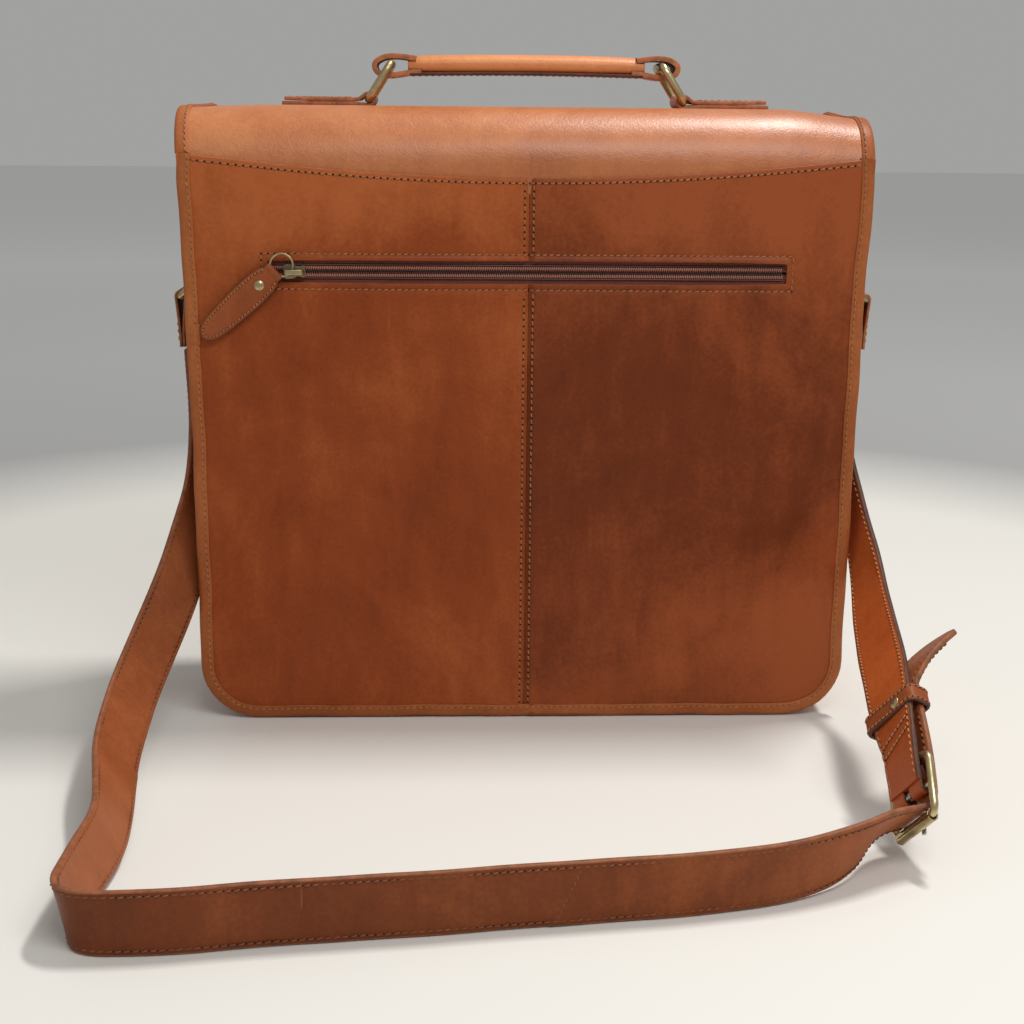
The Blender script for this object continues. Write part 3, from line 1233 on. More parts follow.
def zip_pull():
    """Wire ring and leather pull: a folded tongue, a stitched blade and a domed rivet."""
    ring = Shape()
    planar_wire(ring, RING_CENTRE + in_xz(circle(6.6, 40), 0), [0, 1, 0], 0.7, sides=10)
    made = make_piece("zip_wire_ring", ring, [BRASS_PALE])
    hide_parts("zip_pull_ring")
    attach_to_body(made, "zip_pull_ring")
    blade = Shape()
    section_turn = np.linspace(0, 2 * math.pi, 17)[:-1]
    rings = []
    marks = [(8.0, 5.6), (9.0, 6.6), (12, 7.7), (16, 8.4), (24, 8.8), (34, 8.6), (44, 8.0), (52, 7.2),
             (57, 6.1),
             (60.2, 4.5), (62.0, 2.6), (62.6, 0.7)]
    reach, half = np.array(marks).T
    fine = np.concatenate([np.linspace(8, 10, 5)[:-1], np.linspace(10, 56, 26)[:-1],
                           np.linspace(56, 62.6, 11)])
    for d, w in zip(fine, np.interp(fine, reach, half)):
        thick = 1.25 * min(1.0, (w / 2.0) ** 0.5)
        lift = PULL_LIFT * min(1.0, (d - 6) / 8)
        flat = np.sign(np.cos(section_turn)) * np.abs(np.cos(section_turn)) ** 0.55
        rise = np.sign(np.sin(section_turn)) * np.abs(np.sin(section_turn)) ** 0.55
        rings.append(RING_CENTRE + PULL_AHEAD * d + PULL_SIDE * (flat * w)[:, None]
                     + PULL_OUT * (rise * thick + lift)[:, None])
    sides = [1 if k in (0, 7, 8, 15) else 0 for k in range(len(section_turn))]
    blade.tube(rings, False, sides)
    loop = [(12.6, 0.9), (9.0, 1.0), (6.0, 1.7), (4.2, 0.0), (6.0, -1.7), (9.0, -1.0), (12.6, -0.9)]
    path = np.array([RING_CENTRE + PULL_AHEAD * a + PULL_OUT * b
                     for a, b in smooth_line([(a, b, 0) for a, b in loop], 5)[:, :2]])
    folded_strip(blade, path, PULL_SIDE, 11.8, 0.9)
    tab = make_piece("zip_pull_leather", blade, [LEATHER_TAB, EDGE_DARK], crease=60)
    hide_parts("zip_pull_tab")
    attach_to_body(tab, "zip_pull_tab")
    rows = Stitching("thread_tan", 0.35)
    places = np.linspace(9, 60.5, 40)
    width = np.interp(places, reach, half) - 1.8
    face = 1.25 + PULL_LIFT
    sewn = [(d, w) for d, w in zip(places, width) if w > 0.4]
    edge, other = ([RING_CENTRE + PULL_AHEAD * d + PULL_SIDE * (sign * w) + PULL_OUT * face for d, w in sewn]
                   for sign in (1, -1))
    line = np.array(edge + other[::-1])
    rows.row(line, np.broadcast_to(PULL_OUT, line.shape), pitch=2.3)
    rows.piece("zip_pull", "zip_pull_tab")
    stud = Shape()
    stud_at = RING_CENTRE + PULL_AHEAD * 17.4 + PULL_OUT * PULL_LIFT
    dome(stud, stud_at + PULL_OUT * 1.2, PULL_OUT, 3.0, 1.0)
    dome(stud, stud_at - PULL_OUT * 1.1, -PULL_OUT, 2.6, 0.4)
    rivet = make_piece("zip_pull_stud", stud, [BRASS], crease=50)
    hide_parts("zip_pull_rivet")
    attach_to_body(rivet, "zip_pull_tab")


def dome(shape, centre, up, radius, height, sides=24):
    """A rivet head: a low dome with a rolled rim."""
    up = unit(up)
    side = unit(np.cross(up, [0.3, 0.5, 0.81]))
    other = np.cross(up, side)
    turn = circle(1.0, sides)
    rings = []
    for share, rise in ((0.55, -0.5), (1.0, -0.4), (1.02, 0.1), (0.96, 0.32), (0.86, 0.42), (0.80, 0.46),
                        (0.66, 0.78), (0.42, 0.95), (0.12, 1.0)):
        rings.append(centre + up * rise * height + (turn[:, :1] * side + turn[:,
                                                                              1:] * other) * radius * share)
    shape.tube(rings)


# ---------------------------------------------------------------- carry handle
HANDLE_Y = 5.0
GRIP_Z = 394.5
GRIP_HALF = 71.0
EYE_X = 81.0
BAR_X = 94.5
BAR_Z = 374.65
TOP_BAR_X, TOP_BAR_Z = 81.16, 395.2
TAB_END = 146.0


def grip_arch(x):
    """How far the grip rises in its middle."""
    return 0.9 * (1 - (x / GRIP_HALF) ** 2)


def handle_grip():
    """Leather rolled over a cord, closed by a sewn strip along its underside."""
    x = np.linspace(-GRIP_HALF, GRIP_HALF, 48)
    turn = np.radians(np.linspace(-38, 218, 26))
    taper = 1 - 0.10 * (np.abs(x) / GRIP_HALF) ** 6
    rings = []
    for spot, share in zip(x, taper):
        y = HANDLE_Y + np.sign(np.cos(turn)) * np.abs(np.cos(turn)) ** 0.8 * 12.8 * share
        z = GRIP_Z + grip_arch(spot) + np.sign(np.sin(turn)) * np.abs(np.sin(turn)) ** 0.85 * 6.0 * share
        rings.append(np.stack([np.full_like(y, spot), y, z], 1))
    roll = Shape().tube(rings)
    made = make_piece("handle_grip_leather", roll, [LEATHER_GRIP], round_by=0.5)
    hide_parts("handle_grip")
    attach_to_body(made, "handle")
    strip = Shape()
    path = np.stack([x * 0.985, np.full_like(x, HANDLE_Y), GRIP_Z - 5.0 + grip_arch(x)], 1)
    folded_strip(strip, path, [0, 1, 0], 25.0, 1.8, (0, 1))
    under = make_piece("handle_underside", strip, [LEATHER_TAB, EDGE_DARK])
    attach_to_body(under, "handle")
    rows = Stitching()
    for sign in (-1, 1):
        line = path + [0, sign * 9.5, -0.7]
        rows.row(line, np.broadcast_to([0, 0, -1.0], line.shape), lift=-0.1)
    rows.piece("handle", "handle")


def handle_ends(sign):
    """At one end of the handle: the leather loop, the ring and the sewn tab."""
    name = "left" if sign < 0 else "right"
    eye = [(GRIP_HALF - 5, 4.0), (GRIP_HALF, 4.6), (EYE_X - 4, 5.4), (EYE_X + 4, 5.1), (EYE_X + 10.6, 1.2),
           (EYE_X + 8.8, -4.6), (EYE_X + 2, -6.2), (EYE_X - 6, -5.2), (GRIP_HALF - 2, -3.9),
           (GRIP_HALF - 8, -3.6)]
    path = smooth_line([(sign * a, HANDLE_Y, GRIP_Z + b) for a, b in eye], 6)
    loop = Shape()
    along = tangents(path)
    wide = np.broadcast_to([0, 1.0, 0], path.shape)
    section, cut = strip_section(25.0, 3.2)
    inside = sign * section[:, 1] < 0
    loop.tube(rings_along(section, path, wide, np.cross(along, wide)), False,
              [1 if c else (2 if away else 0) for c, away in zip(cut, inside)])
    made = make_piece(f"handle_loop_{name}_leather", loop, [LEATHER_GRIP, EDGE_ORANGE, EDGE_DARK])
    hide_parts(f"handle_loop_{name}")
    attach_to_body(made, "handle")
    low, high = np.array([BAR_X, BAR_Z]), np.array([TOP_BAR_X, TOP_BAR_Z])
    middle, reach = (low + high) / 2, np.linalg.norm(high - low) / 2
    lean = unit(high - low)
    corners = rounded_loop(18.0, reach, 5.0, 6)
    ring = Shape()
    line = np.stack([sign * (middle[0] + corners[:, 1] * lean[0]), HANDLE_Y + corners[:, 0],
                     middle[1] + corners[:, 1] * lean[1]], 1)
    planar_wire(ring, line, [sign * lean[1], 0, -lean[0]], 2.35, sides=14)
    metal = make_piece(f"handle_ring_{name}_brass", ring, [BRASS_PALE])
    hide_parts(f"handle_ring_{name}")
    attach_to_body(metal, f"handle_ring_{name}")
    sew_tab(sign, name)


def sew_tab(sign, name):
    """A strip folded round the ring's lower bar, its two layers sewn to the flap's top."""
    thick, radius = 2.2, 3.45
    lower, upper = FLAP_TOP + 1.1, FLAP_TOP + 3.35
    around = [(BAR_X + radius * math.cos(a), BAR_Z + radius * math.sin(a))
              for a in np.radians(np.linspace(-95, -300, 14))]
    points = [(TAB_END, lower), (TAB_END - 15, lower), (120, lower), (104, lower)] + around
    points += [(100.2, upper + 0.5), (104.5, upper + 0.05), (120, upper), (TAB_END - 15, upper),
               (TAB_END - 1.5, upper + 0.45)]
    shape = Shape()
    folded_strip(shape, [(sign * a, HANDLE_Y, b) for a, b in points], [0, 1, 0], 30.0, thick)
    made = make_piece(f"handle_tab_{name}_leather", shape, [LEATHER_FLAP, EDGE_TAN],
                      crease=35)
    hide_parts(f"handle_tab_{name}")
    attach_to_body(made, "flap_top")
    rows = Stitching()
    up = np.array([0, 0, 1.0])
    near, far, face = 106.0, TAB_END - 3, upper + 1.15
    corners = [(near, -12), (far, -12), (far, 12), (near, 12), (near, -12)]
    for (a, b), (c, d) in zip(corners[:-1], corners[1:]):
        line = np.linspace((sign * a, HANDLE_Y + b, face), (sign * c, HANDLE_Y + d, face), 6)
        rows.row(line, np.broadcast_to(up, line.shape))
    rows.piece(f"handle_tab_{name}", "flap_top")


# ---------------------------------------------------------------- side rings
SIDE_Y = -12.0
UPPER_BAR = np.array([197.65, 268.0])
LOWER_BAR = np.array([208.05, 258.63])
WALL_X = 194.0
FOLD_RADIUS = 2.85
STRAP_LEATHER = 1.6


def side_ring(sign):
    """The strap's anchor on one side: sewn strip, wire ring and the strap's folded end."""
    name = "left" if sign < 0 else "right"
    inner, outer = WALL_X + 0.8, WALL_X + 2.4
    path = np.concatenate([[(inner, 307), (inner, 290), (inner, 276)],
                           arc(UPPER_BAR, FOLD_RADIUS, 180, 405, 14),
                           [(outer, 275), (outer, 290), (outer + 0.15, 307)]])
    shape = Shape()
    folded_strip(shape, in_xz(path * [sign, 1], SIDE_Y), [0, 1, 0], 30.0, STRAP_LEATHER)
    made = make_piece(f"side_chape_{name}_leather", shape, [LEATHER_BINDING, EDGE_ORANGE])
    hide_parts(f"side_chape_{name}")
    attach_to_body(made, "body")
    rows = Stitching()
    face = np.array([float(sign), 0, 0])
    corners = [(281, -12), (304, -12), (304, 12), (281, 12), (281, -12)]
    for (a, b), (c, d) in zip(corners[:-1], corners[1:]):
        line = np.linspace((sign * (outer + 0.8), SIDE_Y + b, a), (sign * (outer + 0.8), SIDE_Y + d, c), 6)
        rows.row(line, np.broadcast_to(face, line.shape))
    rows.piece(f"side_chape_{name}", "body")
    middle, reach = (UPPER_BAR + LOWER_BAR) / 2, np.linalg.norm(LOWER_BAR - UPPER_BAR) / 2
    lean = unit(LOWER_BAR - UPPER_BAR)
    corners = rounded_loop(18.5, reach, 4.0, 6)
    line = np.stack([sign * (middle[0] + corners[:, 1] * lean[0]), SIDE_Y + corners[:, 0],
                     middle[1] + corners[:, 1] * lean[1]], 1)
    ring = Shape()
    planar_wire(ring, line, [sign * lean[1], 0, -lean[0]], 2.0, sides=14)
    metal = make_piece(f"side_ring_{name}_brass", ring, [BRASS])
    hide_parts(f"side_ring_{name}")
    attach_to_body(metal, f"side_ring_{name}")
    near, far = LOWER_BAR[0] - 0.8, LOWER_BAR[0] + 0.8
    path = np.concatenate([[(near - 0.4, 228), (near - 0.2, 236), (near - 0.9, 246)],
                           arc(LOWER_BAR, FOLD_RADIUS, 190, -10, 14),
                           [(far + 0.9, 246), (far, 236), (far, 228)]])
    end = Shape()
    folded_strip(end, in_xz(path * [sign, 1], SIDE_Y), [0, 1, 0], 31.0, STRAP_LEATHER)
    fold = make_piece(f"strap_end_{name}_leather", end, [LEATHER_STRAP, EDGE_TAN])
    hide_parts(f"strap_end_{name}")
    hinge = (f"side_ring_{name}", "body", (sign * 0.208, SIDE_Y * MM, 0.250),
             (sign * 0.2075, SIDE_Y * MM, 0.230))
    attach(fold, hinge)
    rows = Stitching()
    for z in (231.5, 235.5):
        line = np.linspace((sign * (far + 0.8), SIDE_Y - 13.5, z), (sign * (far + 0.8), SIDE_Y + 13.5, z), 6)
        rows.row(line, np.broadcast_to(face, line.shape))
    for y in (-13.5, 13.5):
        line = np.linspace((sign * (far + 0.8), SIDE_Y + y, 231), (sign * (far + 1.4), SIDE_Y + y, 244), 6)
        rows.row(line, np.broadcast_to(face, line.shape))
    rows.piece(f"strap_end_{name}", hinge)


# ---------------------------------------------------------------- shoulder strap
# The strap's middle line in metres with the direction of its width at each point.
SHORT_ROUTE = [
    ((0.2055, -0.012, 0.226), (0, -1, 0)),
    ((0.2005, -0.013, 0.190), (0, -1, 0.1)),
    ((0.2025, -0.020, 0.157), (0.04, -0.95, 0.3)),
    ((0.207, -0.043, 0.122), (0.14, -0.80, 0.57)),
    ((0.207, -0.078, 0.094), (0.36, -0.55, 0.74)),
    ((0.201, -0.119, 0.080), (0.51, -0.34, 0.79)),
    ((0.194, -0.163, 0.076), (0.56, -0.34, 0.76)),
    ((0.188, -0.207, 0.066), (0.47, -0.54, 0.69)),
]
LONG_ROUTE = [
    ((-0.2055, -0.012, 0.226), (0, -1, 0)),
    ((-0.2010, -0.013, 0.184), (-0.15, -1, 0.05)),
    ((-0.2005, -0.019, 0.143), (-0.4, -0.85, 0.2)),
    ((-0.207, -0.038, 0.105), (-0.65, -0.55, 0.42)),
    ((-0.215, -0.062, 0.077), (-0.75, -0.27, 0.58)),
    ((-0.224, -0.098, 0.055), (-0.70, -0.21, 0.68)),
    ((-0.229, -0.144, 0.038), (-0.67, -0.18, 0.72)),
    ((-0.227, -0.190, 0.027), (-0.64, -0.18, 0.75)),
    ((-0.219, -0.231, 0.022), (-0.52, -0.12, 0.84)),
    ((-0.216, -0.266, 0.020), (-0.36, -0.05, 0.93)),
    ((-0.221, -0.303, 0.0175), (-0.31, -0.05, 0.95)),
    ((-0.224, -0.345, 0.0165), (-0.15, -0.05, 0.98)),
    ((-0.182, -0.347, 0.0165), (0, 0, 1)),
    ((-0.125, -0.338, 0.0165), (0, 0, 1)),
    ((-0.060, -0.331, 0.0165), (0, 0, 1)),
    ((0.0, -0.323, 0.0165), (0, 0, 1)),
    ((0.060, -0.316, 0.0165), (0, 0, 1)),
    ((0.112, -0.306, 0.0165), (0.02, -0.03, 1)),
    ((0.150, -0.290, 0.019), (0.10, -0.14, 0.97)),
]
BUCKLE_CENTRE = np.array([0.1885, -0.265, 0.021])
BUCKLE_UP = unit([0.05, 0.72, 0.68])


def squared(wide, along):
    """The width direction made square to the strap's own direction."""
    wide, along = np.asarray(wide, float), np.asarray(along, float)
    return unit(wide - along * np.sum(wide * along, axis=-1, keepdims=True))


BUCKLE_WIDE = squared([0.22, -0.64, 0.75], BUCKLE_UP)
BUCKLE_OUT = np.cross(BUCKLE_UP, BUCKLE_WIDE)
HINGE_BAR = 16.0
TOP_BAR = 33.0
STRAP_WIDTH = 32.0
STRAP_THICK = 3.0
LAP = 6.3
KEEPER_BACK = 48.0
PAST_KEEPER = 9.0


def buckle_point(up, wide, out):
    """A point in metres, given in millimetres along the buckle's own directions from its roller's middle."""
    return BUCKLE_CENTRE + (BUCKLE_UP * up + BUCKLE_WIDE * wide + BUCKLE_OUT * out) * MM


def short_points():
    """The short strap's route, ending inside the buckle."""
    ends = [(buckle_point(up, 0, out), BUCKLE_WIDE) for up, out in ((41, -4.2), (HINGE_BAR + 3.6, -3.0))]
    return [(np.array(p, float), unit(w)) for p, w in SHORT_ROUTE] + ends


def long_points():
    """The long strap's route: through the buckle, along the short strap, and its curled tail."""
    points = [(np.array(p, float), unit(w)) for p, w in LONG_ROUTE]
    points += [(buckle_point(up, 0, out), BUCKLE_WIDE)
               for up, out in ((1.5, -16), (6.4, 4.6), (22, 4.4), (40, 4.0))]
    foot, wide = np.array(SHORT_ROUTE[-1][0]), SHORT_ROUTE[-1][1]
    ahead = unit(foot - buckle_point(41, 0, -4.2))
    wide = squared(wide, ahead)
    lap = foot + np.cross(ahead, wide) * LAP * MM
    points += [(lap, wide), (lap + ahead * PAST_KEEPER * MM, wide)]
    points += [(np.array((0.208, -0.184, 0.082)), unit((0.52, -0.50, 0.69))),
               (np.array((0.230, -0.166, 0.090)), unit((0.33, -0.74, 0.58)))]
    return points


class Strap:
    """A flat strap on its smooth route: places along it with the directions of its width and its face."""

    def __init__(self, points):
        middle = np.array([p for p, _ in points])
        wide = np.array([w for _, w in points])
        self.line = smooth_line(middle)
        edge = smooth_line(middle + wide * STRAP_WIDTH / 2 * MM)
        self.centres = self.line / MM
        self.along = tangents(self.centres)
        self.wide = squared(edge / MM - self.centres, self.along)
        steps = np.linalg.norm(np.diff(self.centres, axis=0), axis=1)
        self.at = np.concatenate([[0], np.cumsum(steps)])
        self.length = self.at[-1]

    def places(self, at):
        """Middle, width and face directions at distances along the strap."""
        at = np.asarray(at, float)
        mix = [np.stack([np.interp(at, self.at, v[:, k]) for k in range(3)], 1)
               for v in (self.centres, self.along, self.wide)]
        centre, along = mix[0], unit(mix[1])
        wide = squared(mix[2], along)
        return centre, wide, np.cross(along, wide)

    def body(self, shape, splices=(), grooves=(), tip=0.0, slots=(0, 1, 2)):
        """The strap's leather, with slanted laps, pressed-in rows and a rounded tip."""
        marks = [np.arange(0, self.length, 2.5), [self.length]]
        marks += [np.arange(mark[0] - 9, mark[0] + 9, 0.6) for mark in [*splices, *grooves]]
        if tip:
            marks.append(self.length - tip * (1 - np.sin(np.linspace(0, math.pi / 2, 10))))
        at = np.unique(np.clip(np.concatenate(marks), 0, self.length))
        at = at[np.concatenate([[True], np.diff(at) > 0.05])]
        section, cut = strip_section(STRAP_WIDTH, STRAP_THICK, 0.9, 8)
        centre, wide, face = self.places(at)
        narrow = np.ones_like(at)
        if tip:
            left = np.clip((self.length - at) / tip, 0, 1)
            narrow = np.sqrt(np.clip(1 - (1 - left) ** 2, 0.02, 1))
        rise = np.zeros((len(at), len(section)))
        faces = section[None, :, 1] > 0
        for spot, slant, front in splices:
            step = np.clip((at[:, None] - spot - slant * section[None, :, 0]) / 1.0, 0, 1)
            rise += (np.where(faces == front, 0.5, 0.0) * step
                     * np.exp(-np.maximum(at[:, None] - spot, 0) / 45.0))
        for spot, slant in grooves:
            rise -= 0.5 * bump_at(at[:, None], spot + slant * section[None, :, 0], 2.6)
        bow = 0.25 * np.sin(at / 23.0)[:, None] + 0.2 * np.sin(at / 9.0 + 1)[:, None]
        lift = section[None, :, 1] + np.where(faces, rise, -rise)
        lift = lift + bow * (np.abs(section[None, :, 0]) / 16.0) ** 2
        rings = (centre[:, None, :] + (section[None, :, 0] * narrow[:, None])[:, :, None] * wide[:, None, :]
                 + lift[:, :, None] * face[:, None, :])
        sides = [slots[1] if c else (slots[0] if b > 0 else slots[2]) for c, b in zip(cut, section[:, 1])]
        shape.tube(rings, False, sides)

    def stitch(self, rows, start, end, across, side, **style):
        """A stitch row along the strap at a distance from its middle, on one face."""
        at = np.arange(start, end, 2.0)
        centre, wide, face = self.places(at)
        rows.row(centre + wide * across + face * side * STRAP_THICK / 2, face * side, **style)

    def stitch_across(self, rows, at, slant, side):
        """A slanted row across the strap."""
        across = np.linspace(-12.5, 12.5, 9)
        centre, wide, face = self.places(at + slant * across)
        rows.row(centre + wide * across[:, None] + face * side * STRAP_THICK / 2, face * side, pitch=3.2)


SPLICE_X = 6.0
LAP_AT = 292.0
SEWN_BACK = (33.0, 26.5)
SEWN_SLANT = -0.22


def long_strap():
    """The long length of strap: two joined pieces, stitched along both edges."""
    strap = Strap(long_points())
    shape = Shape()
    front = strap.centres[:, 1] < -300
    splice = np.interp(SPLICE_X, strap.centres[front, 0], strap.at[front])
    strap.body(shape, splices=[(splice, 0.45, True), (LAP_AT, -0.5, False)], tip=17.0)
    made = make_piece("strap_long_leather", shape, [LEATHER_STRAP, EDGE_STRAP, LEATHER_STRAP_INSIDE],
                      crease=55)
    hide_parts("strap_long")
    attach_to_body(made, "body")
    rows = Stitching("thread_brown", 0.7)
    for across in (-13.4, 13.4):
        for side in (-1, 1):
            strap.stitch(rows, 4, strap.length - 16, across, side, lift=0.06)
    strap.stitch_across(rows, splice + 3, 0.45, 1)
    rows.piece("strap_long", "body")


def short_strap(pieces):
    """The short length that carries the buckle."""
    strap = Strap(short_points())
    shape = Shape()
    strap.body(shape, grooves=[(strap.length - back, SEWN_SLANT) for back in SEWN_BACK])
    made = make_piece("strap_short_leather", shape, [LEATHER_WARM, EDGE_DARK, LEATHER_WARM],
                      crease=55)
    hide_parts("strap_short")
    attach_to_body(made, "body")
    rows = Stitching("thread_light", 0.55)
    for across in (-13.4, 13.4):
        for side in (-1, 1):
            strap.stitch(rows, 4, strap.length - 3, across, side, lift=0.06)
    for back in SEWN_BACK:
        for side in (-1, 1):
            strap.stitch_across(rows, strap.length - back, SEWN_SLANT, side)
    rows.piece("strap_short", "body")


def in_buckle(points):
    """Points (up, wide, out) of the buckle's own frame, in millimetres of the row frame."""
    points = np.asarray(points, float)
    axes = np.stack([BUCKLE_UP, BUCKLE_WIDE, BUCKLE_OUT])
    return BUCKLE_CENTRE / MM + points @ axes


def buckle():
    """The strap's buckle: frame, hinge bar, split roller, prong and the leather round its hinge bar."""
    loop = rounded_loop(STRAP_WIDTH / 2 + 5, TOP_BAR / 2, 5.5, 7)
    frame_line = in_buckle(np.stack([loop[:, 1] + TOP_BAR / 2, loop[:, 0], np.zeros(len(loop))], 1))
    wires = Shape()
    planar_wire(wires, frame_line, BUCKLE_OUT, 2.05, sides=16)
    bar = in_buckle([(HINGE_BAR, y, 0) for y in np.linspace(-21, 21, 6)])
    wires.tube(rings_along(circle(1.7, 12), bar, np.broadcast_to(BUCKLE_UP, bar.shape),
                           np.broadcast_to(BUCKLE_OUT, bar.shape)))
    made = make_piece("strap_buckle_frame", wires, [BRASS_PALE])
    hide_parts("strap_buckle")
    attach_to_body(made, "body")
    turn = np.radians(np.linspace(-172, 172, 40))
    outer = np.stack([np.cos(turn), np.sin(turn)], 1)
    section = np.concatenate([outer * 3.1, outer[::-1] * 2.45])
    spots = in_buckle([(0, y, 0) for y in (-18, -17.6, 17.6, 18)])
    sizes = np.array([0.96, 1.0, 1.0, 0.96])[:, None, None]
    seam = math.radians(250)
    first = BUCKLE_UP * math.cos(seam) + BUCKLE_OUT * math.sin(seam)
    second = np.cross(BUCKLE_WIDE, first)
    rings = spots[:, None, :] + sizes * (section[None, :, :1] * -first + section[None, :, 1:] * second)
    roller = make_piece("strap_roller_sleeve", Shape().tube(rings), [BRASS], round_by=0.12,
                        crease=35)
    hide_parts("strap_roller")
    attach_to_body(roller, "strap_roller")
    tongue = Shape()
    route = [(14.4, 0, -2.3), (18.3, 0, -2.4), (18.9, 0, 1.4), (16.0, 0, 3.4), (11.5, 0, 3.4), (7, 0, 4.3),
             (2, 0, 4.6),
             (-3.2, 0, 4.1)]
    line = in_buckle(smooth_line(route, 5))
    along = tangents(line)
    wide = np.broadcast_to(BUCKLE_WIDE, line.shape)
    section = circle(1.0, 12) * [1.6, 1.05]
    tongue.tube(rings_along(section, line, wide, np.cross(along, wide)))
    prong = make_piece("strap_prong_steel", tongue, [STEEL], round_by=0.2)
    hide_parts("strap_prong")
    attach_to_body(prong, "body")
    wrap = Shape()
    path = [(26, -2.9), (20, -2.9), (15.0, -2.6), (13.2, 0.0), (15.2, 2.4), (19, 1.6), (23, -0.6), (27, -1.6)]
    for middle in (-9.2, 9.2):
        line = in_buckle([(a, middle, b) for a, b in smooth_line([(a, b, 0) for a, b in path], 5)[:, :2]])
        folded_strip(wrap, line, BUCKLE_WIDE, 13.2, 1.3)
    leather_loop = make_piece("strap_hinge_wrap", wrap, [LEATHER_WARM, EDGE_DARK])
    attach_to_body(leather_loop, "body")
    return [made, roller, prong, leather_loop]


def keeper():
    """The stitched leather loop round both layers of the strap, closed by a rivet."""
    points = short_points()
    before, behind = points[-2][0] / MM, points[-3][0] / MM
    up = unit(behind - before)
    end_run = np.linalg.norm(points[-1][0] / MM - before)
    centre = before + up * (KEEPER_BACK - end_run)
    wide = squared(points[-3][1], up)
    out = np.cross(up, wide)
    loop = rounded_loop(STRAP_WIDTH / 2 + 2.2, 6.2, 3.0, 7)
    line = centre + loop[:, :1] * wide + (loop[:, 1:] + 3.4) * out
    along = unit(np.roll(line, -1, axis=0) - np.roll(line, 1, axis=0))
    across = np.broadcast_to(up, line.shape)
    section, cut = strip_section(11.0, 2.0, 0.7, 4)
    shape = Shape().tube(rings_along(section, line, across, np.cross(along, across)), True, cut)
    made = make_piece("strap_keeper_leather", shape, [LEATHER_TAB, EDGE_DARK])
    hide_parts("strap_keeper")
    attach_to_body(made, "body")
    rows = Stitching()
    outward = np.cross(along, across)
    outward = outward * np.sign(np.sum(outward * (line - (centre + out * 3.4)), axis=1))[:, None]
    closed = np.concatenate([line, line[:1]])
    normal = np.concatenate([outward, outward[:1]])
    for sign in (-1, 1):
        rows.row(closed + normal + up * sign * 3.8, normal, pitch=3.0, lift=0.06)
    stitches = rows.piece("strap_keeper", "body")
    stud = Shape()
    dome(stud, centre + wide * 6 - out * 3.8, -out, 3.0, 1.0)
    rivet = make_piece("strap_keeper_rivet", stud, [BRASS_PALE], crease=50)
    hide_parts("strap_rivet")
    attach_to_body(rivet, "body")
    return [made, rivet, *stitches]


# ---------------------------------------------------------------- closing straps on the front
def closing_strap(sign):
    """A strap sewn on the hanging flap, with its fixed buckle, leather loop and snap."""
    name = "left" if sign < 0 else "right"
    low, high = span(f"closure_strap_{name}")
    mid, width = (low[0] + high[0]) / 2, high[0] - low[0]
    face = (low[1] + high[1]) / 2
    tip = width / 2
    z = np.concatenate([np.linspace(high[2], low[2] + tip, 40)[:-1],
                        low[2] + tip * (1 - np.sin(np.linspace(0, math.pi / 2, 10)))])
    left = np.clip((z - low[2]) / tip, 0, 1)
    narrow = np.sqrt(np.clip(1 - (1 - left) ** 2, 0.02, 1))
    section, cut = strip_section(width, high[1] - low[1], 0.8, 6)
    bow = 0.25 * np.sin(z / 37)
    centres = np.stack([np.full_like(z, mid), face + bow * (z < 90), z], 1)
    rings = (centres[:, None, :] + (section[None, :, 0] * narrow[:, None])[:, :, None] * np.array([1.0, 0, 0])
             + section[None, :, 1:2] * np.array([0, 1.0, 0]))
    made = make_piece(f"closure_strap_{name}_leather", Shape().tube(rings, False, cut),
                      [LEATHER_TAB, EDGE_DARK])
    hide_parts(f"closure_strap_{name}")
    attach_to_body(made, "flap_front")
    rows = Stitching()
    out = np.array([0, 1.0, 0])
    inset = 2.6
    left_row = centres + np.array([-1.0, 0, 0]) * np.maximum(width / 2 * narrow - inset, 0)[:, None]
    right_row = centres + np.array([1.0, 0, 0]) * np.maximum(width / 2 * narrow - inset, 0)[:, None]
    line = np.concatenate([left_row[:-3], right_row[:-3][::-1]]) + out * (high[1] - low[1]) / 2
    rows.row(line, np.broadcast_to(out, line.shape))
    rows.piece(f"closure_strap_{name}", "flap_front")
    low_b, high_b = span(f"closure_buckle_{name}")
    loop = rounded_loop((high_b[0] - low_b[0]) / 2 - 1.7, (high_b[2] - low_b[2]) / 2 - 1.7, 5.0, 7)
    y = (low_b[1] + high_b[1]) / 2
    wires = Shape()
    line = np.stack([mid + loop[:, 0], np.full(len(loop), y), (low_b[2] + high_b[2]) / 2 + loop[:, 1]], 1)
    planar_wire(wires, line, [0, 1, 0], 1.65, sides=14)
    metal = make_piece(f"closure_buckle_{name}_brass", wires, [BRASS])
    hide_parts(f"closure_buckle_{name}")
    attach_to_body(metal, "flap_front")
    strip = Shape()
    loop = rounded_loop(width / 2 + 1.4, 2.6, 1.6, 5)
    line = np.stack([mid + loop[:, 0], face + 0.6 + loop[:, 1], np.full(len(loop), 117.0)], 1)
    along = unit(np.roll(line, -1, axis=0) - np.roll(line, 1, axis=0))
    across = np.broadcast_to([0, 0, 1.0], line.shape)
    section, cut = strip_section(9.0, 1.3, 0.5, 4)
    strip.tube(rings_along(section, line, across, np.cross(along, across)), True, cut)
    keeper_loop = make_piece(f"closure_keeper_{name}", strip, [LEATHER_TAB, EDGE_DARK])
    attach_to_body(keeper_loop, "flap_front")


